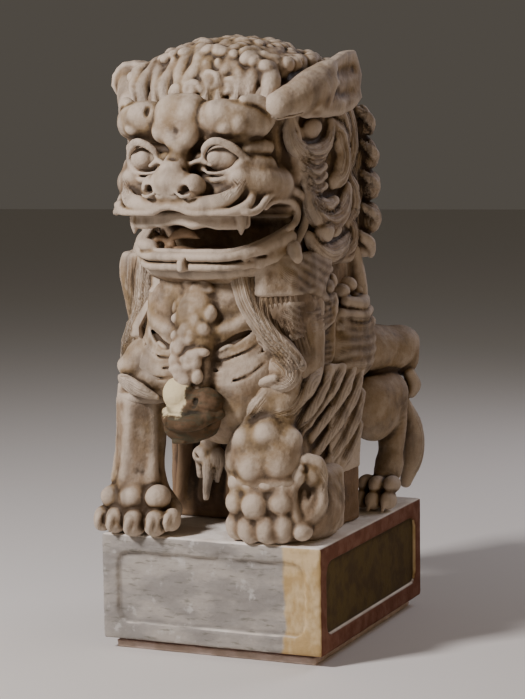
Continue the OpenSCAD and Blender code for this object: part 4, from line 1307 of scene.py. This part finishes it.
def plinth_sandstone():
    """The plinth's stone: grey front with an ochre strip by the right corner, pale top, and a reddish frame
    with an olive-brown panel on the other sides, whose dark warm tones are partly painted shade; painted
    shade in the hollows."""
    s = Shade("sandstone_plinth_grey")
    parts = s.node("SeparateXYZ", {0: s.place}).outputs
    face = s.node("SeparateXYZ", {0: s.node("NewGeometry").outputs["Normal"]}).outputs
    wobble = s.math("MULTIPLY_ADD", s.noise(60, 4), 0.03, -0.015)
    grey = s.mix(s.span(s.noise(90, 4, (0.6, 1, 1.4)), 0.40, 0.62), "#8f8a84", "#aaa39a")
    grey = s.mix(s.span(s.noise(20, 5, (0.5, 1, 2)), 0.54, 0.70, 0.7), grey, "#6c695e")
    grey = s.mix(s.span(s.noise(34, 4), 0.58, 0.72, 0.6), grey, "#c6c2bc")
    ochre = s.mix(s.span(s.noise(40, 3, (1, 1, 0.5)), 0.4, 0.6), "#b4986a", "#ccb48c")
    front = s.mix(s.span(s.math("ADD", parts[0], wobble), 0.194, 0.206), grey, ochre)
    # All faces but the front and the top get these reddish and olive-brown tones: the stone's own tones,
    # darkened as painted shade.
    frame_red = s.mix(s.span(s.noise(50, 4), 0.4, 0.64), "#6a4230", "#7c5644")
    olive = s.mix(s.span(s.noise(44, 4), 0.4, 0.64), "#5a4a28", "#4c3c24")
    deep_x = s.math("ABSOLUTE", parts[0])
    deep_y = parts[1]
    facing = s.span(s.math("ABSOLUTE", face[0]), 0.5, 0.7)
    sunk = s.math("MAXIMUM", s.math("MULTIPLY", s.span(deep_x, 0.2975, 0.2935), facing),
                  s.math("MULTIPLY", s.span(deep_y, 0.3685, 0.3645), s.span(face[1], 0.5, 0.7)))
    side = s.mix(sunk, frame_red, olive)
    colour = s.mix(s.span(face[1], -0.5, -0.7), side, front)
    top = s.mix(s.span(s.noise(80, 4), 0.42, 0.62), "#d8cec2", "#ece6dc")
    colour = s.mix(s.span(face[2], 0.5, 0.8), colour, top)
    # Painted shade in the hollows: the panel margins and the chips.
    colour = s.mix(s.span(s.read("hollow"), 0.2, 0.8, 0.55), colour, "#3c342a")
    return s.finish(colour, 0.88, [(s.noise(12, 5), 2.0), (s.noise(2.0, 2), 0.4)],
                    **{"Specular IOR Level": 0.2})


def plain_stone(name, a, b, size, rough=0.9):
    """A stone or mortar of two mottled colours."""
    s = Shade(name)
    colour = s.mix(s.span(s.noise(size, 4), 0.4, 0.62), a, b)
    return s.finish(colour, rough, [(s.noise(size / 4, 4), 1.4), (s.noise(2, 2), 0.4)])


def bronze():
    """Cast bronze of the hidden dowels: brown metal with a little verdigris."""
    s = Shade("bronze_dowel")
    green = s.span(s.noise(14, 4), 0.56, 0.70, 0.8)
    colour = s.mix(green, "#8a6238", "#5c7c64")
    return s.finish(colour, 0.5, [(s.noise(3, 3), 0.3)], Metallic=s.math("SUBTRACT", 1.0, green))


# ---------------------------------------------------------------- the object

buff = sandstone("sandstone_buff_weathered", "#8a7352", "#c6b6a4", "#8e7860", "#3a2812")
# A darker, browner copy of the same stone for the tongue in the mouth and the block under the breast: painted
# shade for pieces that sit in shadow.
shaded = sandstone("sandstone_shaded_brown", "#6e5434", "#8a7054", "#745a44", "#34240f")
head_piece(buff)
for side, word in ((1, "left"), (-1, "right")):
    eye_piece(word + "_eye", side, buff)
    ear_piece(word + "_ear", side, buff)
    mane_piece(word + "_mane", side, buff)
    drape_piece(word + "_drape", side, buff)
    flaps_piece(word + "_shoulder_flaps", side, buff)
    lock_piece(word + "_shoulder_lock", side, buff)
    hind_leg_piece(word + "_hind_leg", side, buff)
jaw_piece(buff)
teeth_piece(buff)
tongue_piece(shaded)
crown_piece(buff)
back_piece(buff)
torso_piece(buff)
mask_piece(buff)
bell_piece(bell_sandstone())
tassel_piece(buff)
shoulder_piece(buff)
right_foreleg_piece(buff)
left_foreleg_piece(buff)
cub_piece(buff)
wall_piece(shaded)
hind_piece(buff)
tail_piece(buff)
plinth_piece(plinth_sandstone())
slab_piece("bed_mortar", (-267, -338, 20), (267, 338, 28), 3.0,
           plain_stone("lime_mortar_dark", "#4a4238", "#5e5446", 20))
slab_piece("bed_slab", (-275, -346, 0), (275, 346, 20), 4.0,
           plain_stone("sandstone_bed_pale", "#b8a494", "#d0bcb0", 60))

dowel_metal = bronze()
for obj in bpy.data.objects:
    if obj.type == "MESH" and obj.name.endswith(("_dowels", "_dowel", "_pins", "_pin")):
        for slot in obj.material_slots:
            slot.material = dowel_metal

# ---------------------------------------------------------------- floor, light and camera

bpy.ops.mesh.primitive_plane_add(size=60)
floor = bpy.context.object
floor.name = "floor"
floor.data.materials.append(Shade("floor_pale").finish("#dedad4", 0.9, []))


def soft_light(name, at, aim, size, power, colour):
    """A square area light that points at aim."""
    light = bpy.data.lights.new(name, "AREA")
    light.size, light.energy, light.color = size, power, linear(colour)[:3]
    obj = bpy.data.objects.new(name, light)
    obj.location = at
    obj.rotation_euler = (Vector(aim) - Vector(at)).to_track_quat("-Z", "Y").to_euler()
    bpy.context.scene.collection.objects.link(obj)


AIM = (0.0, 0.0, 0.8)
soft_light("key", (-2.2, -3.4, 3.6), AIM, 0.8, 310, "#fbf6f8")
soft_light("fill", (3.6, -1.6, 1.6), AIM, 2.2, 15, "#ffd8a4")
soft_light("back", (1.8, 3.2, 3.0), AIM, 2.0, 50, "#f4f0ff")

world = bpy.data.worlds.new("studio")
bpy.context.scene.world = world
world.use_nodes = True
world.node_tree.nodes["Background"].inputs[0].default_value = linear("#ece0d0")
world.node_tree.nodes["Background"].inputs[1].default_value = 0.10

EYE, LOOK = Vector((2.084, -4.786, 1.2805)), Vector((0.0234, -0.0717, 0.745))
ROLL = math.radians(-0.8)
back = (EYE - LOOK).normalized()
level = Vector((-back.y, back.x, 0)).normalized()
rise = back.cross(level)
right = math.cos(ROLL) * level + math.sin(ROLL) * rise
up = math.cos(ROLL) * rise - math.sin(ROLL) * level
camera = bpy.data.cameras.new("camera")
camera.sensor_fit, camera.sensor_height, camera.lens = "VERTICAL", 36.0, 103.0
viewer = bpy.data.objects.new("camera", camera)
viewer.matrix_world = Matrix.Translation(EYE) @ Matrix((right, up, back)).transposed().to_4x4()
bpy.context.scene.collection.objects.link(viewer)
bpy.context.scene.camera = viewer
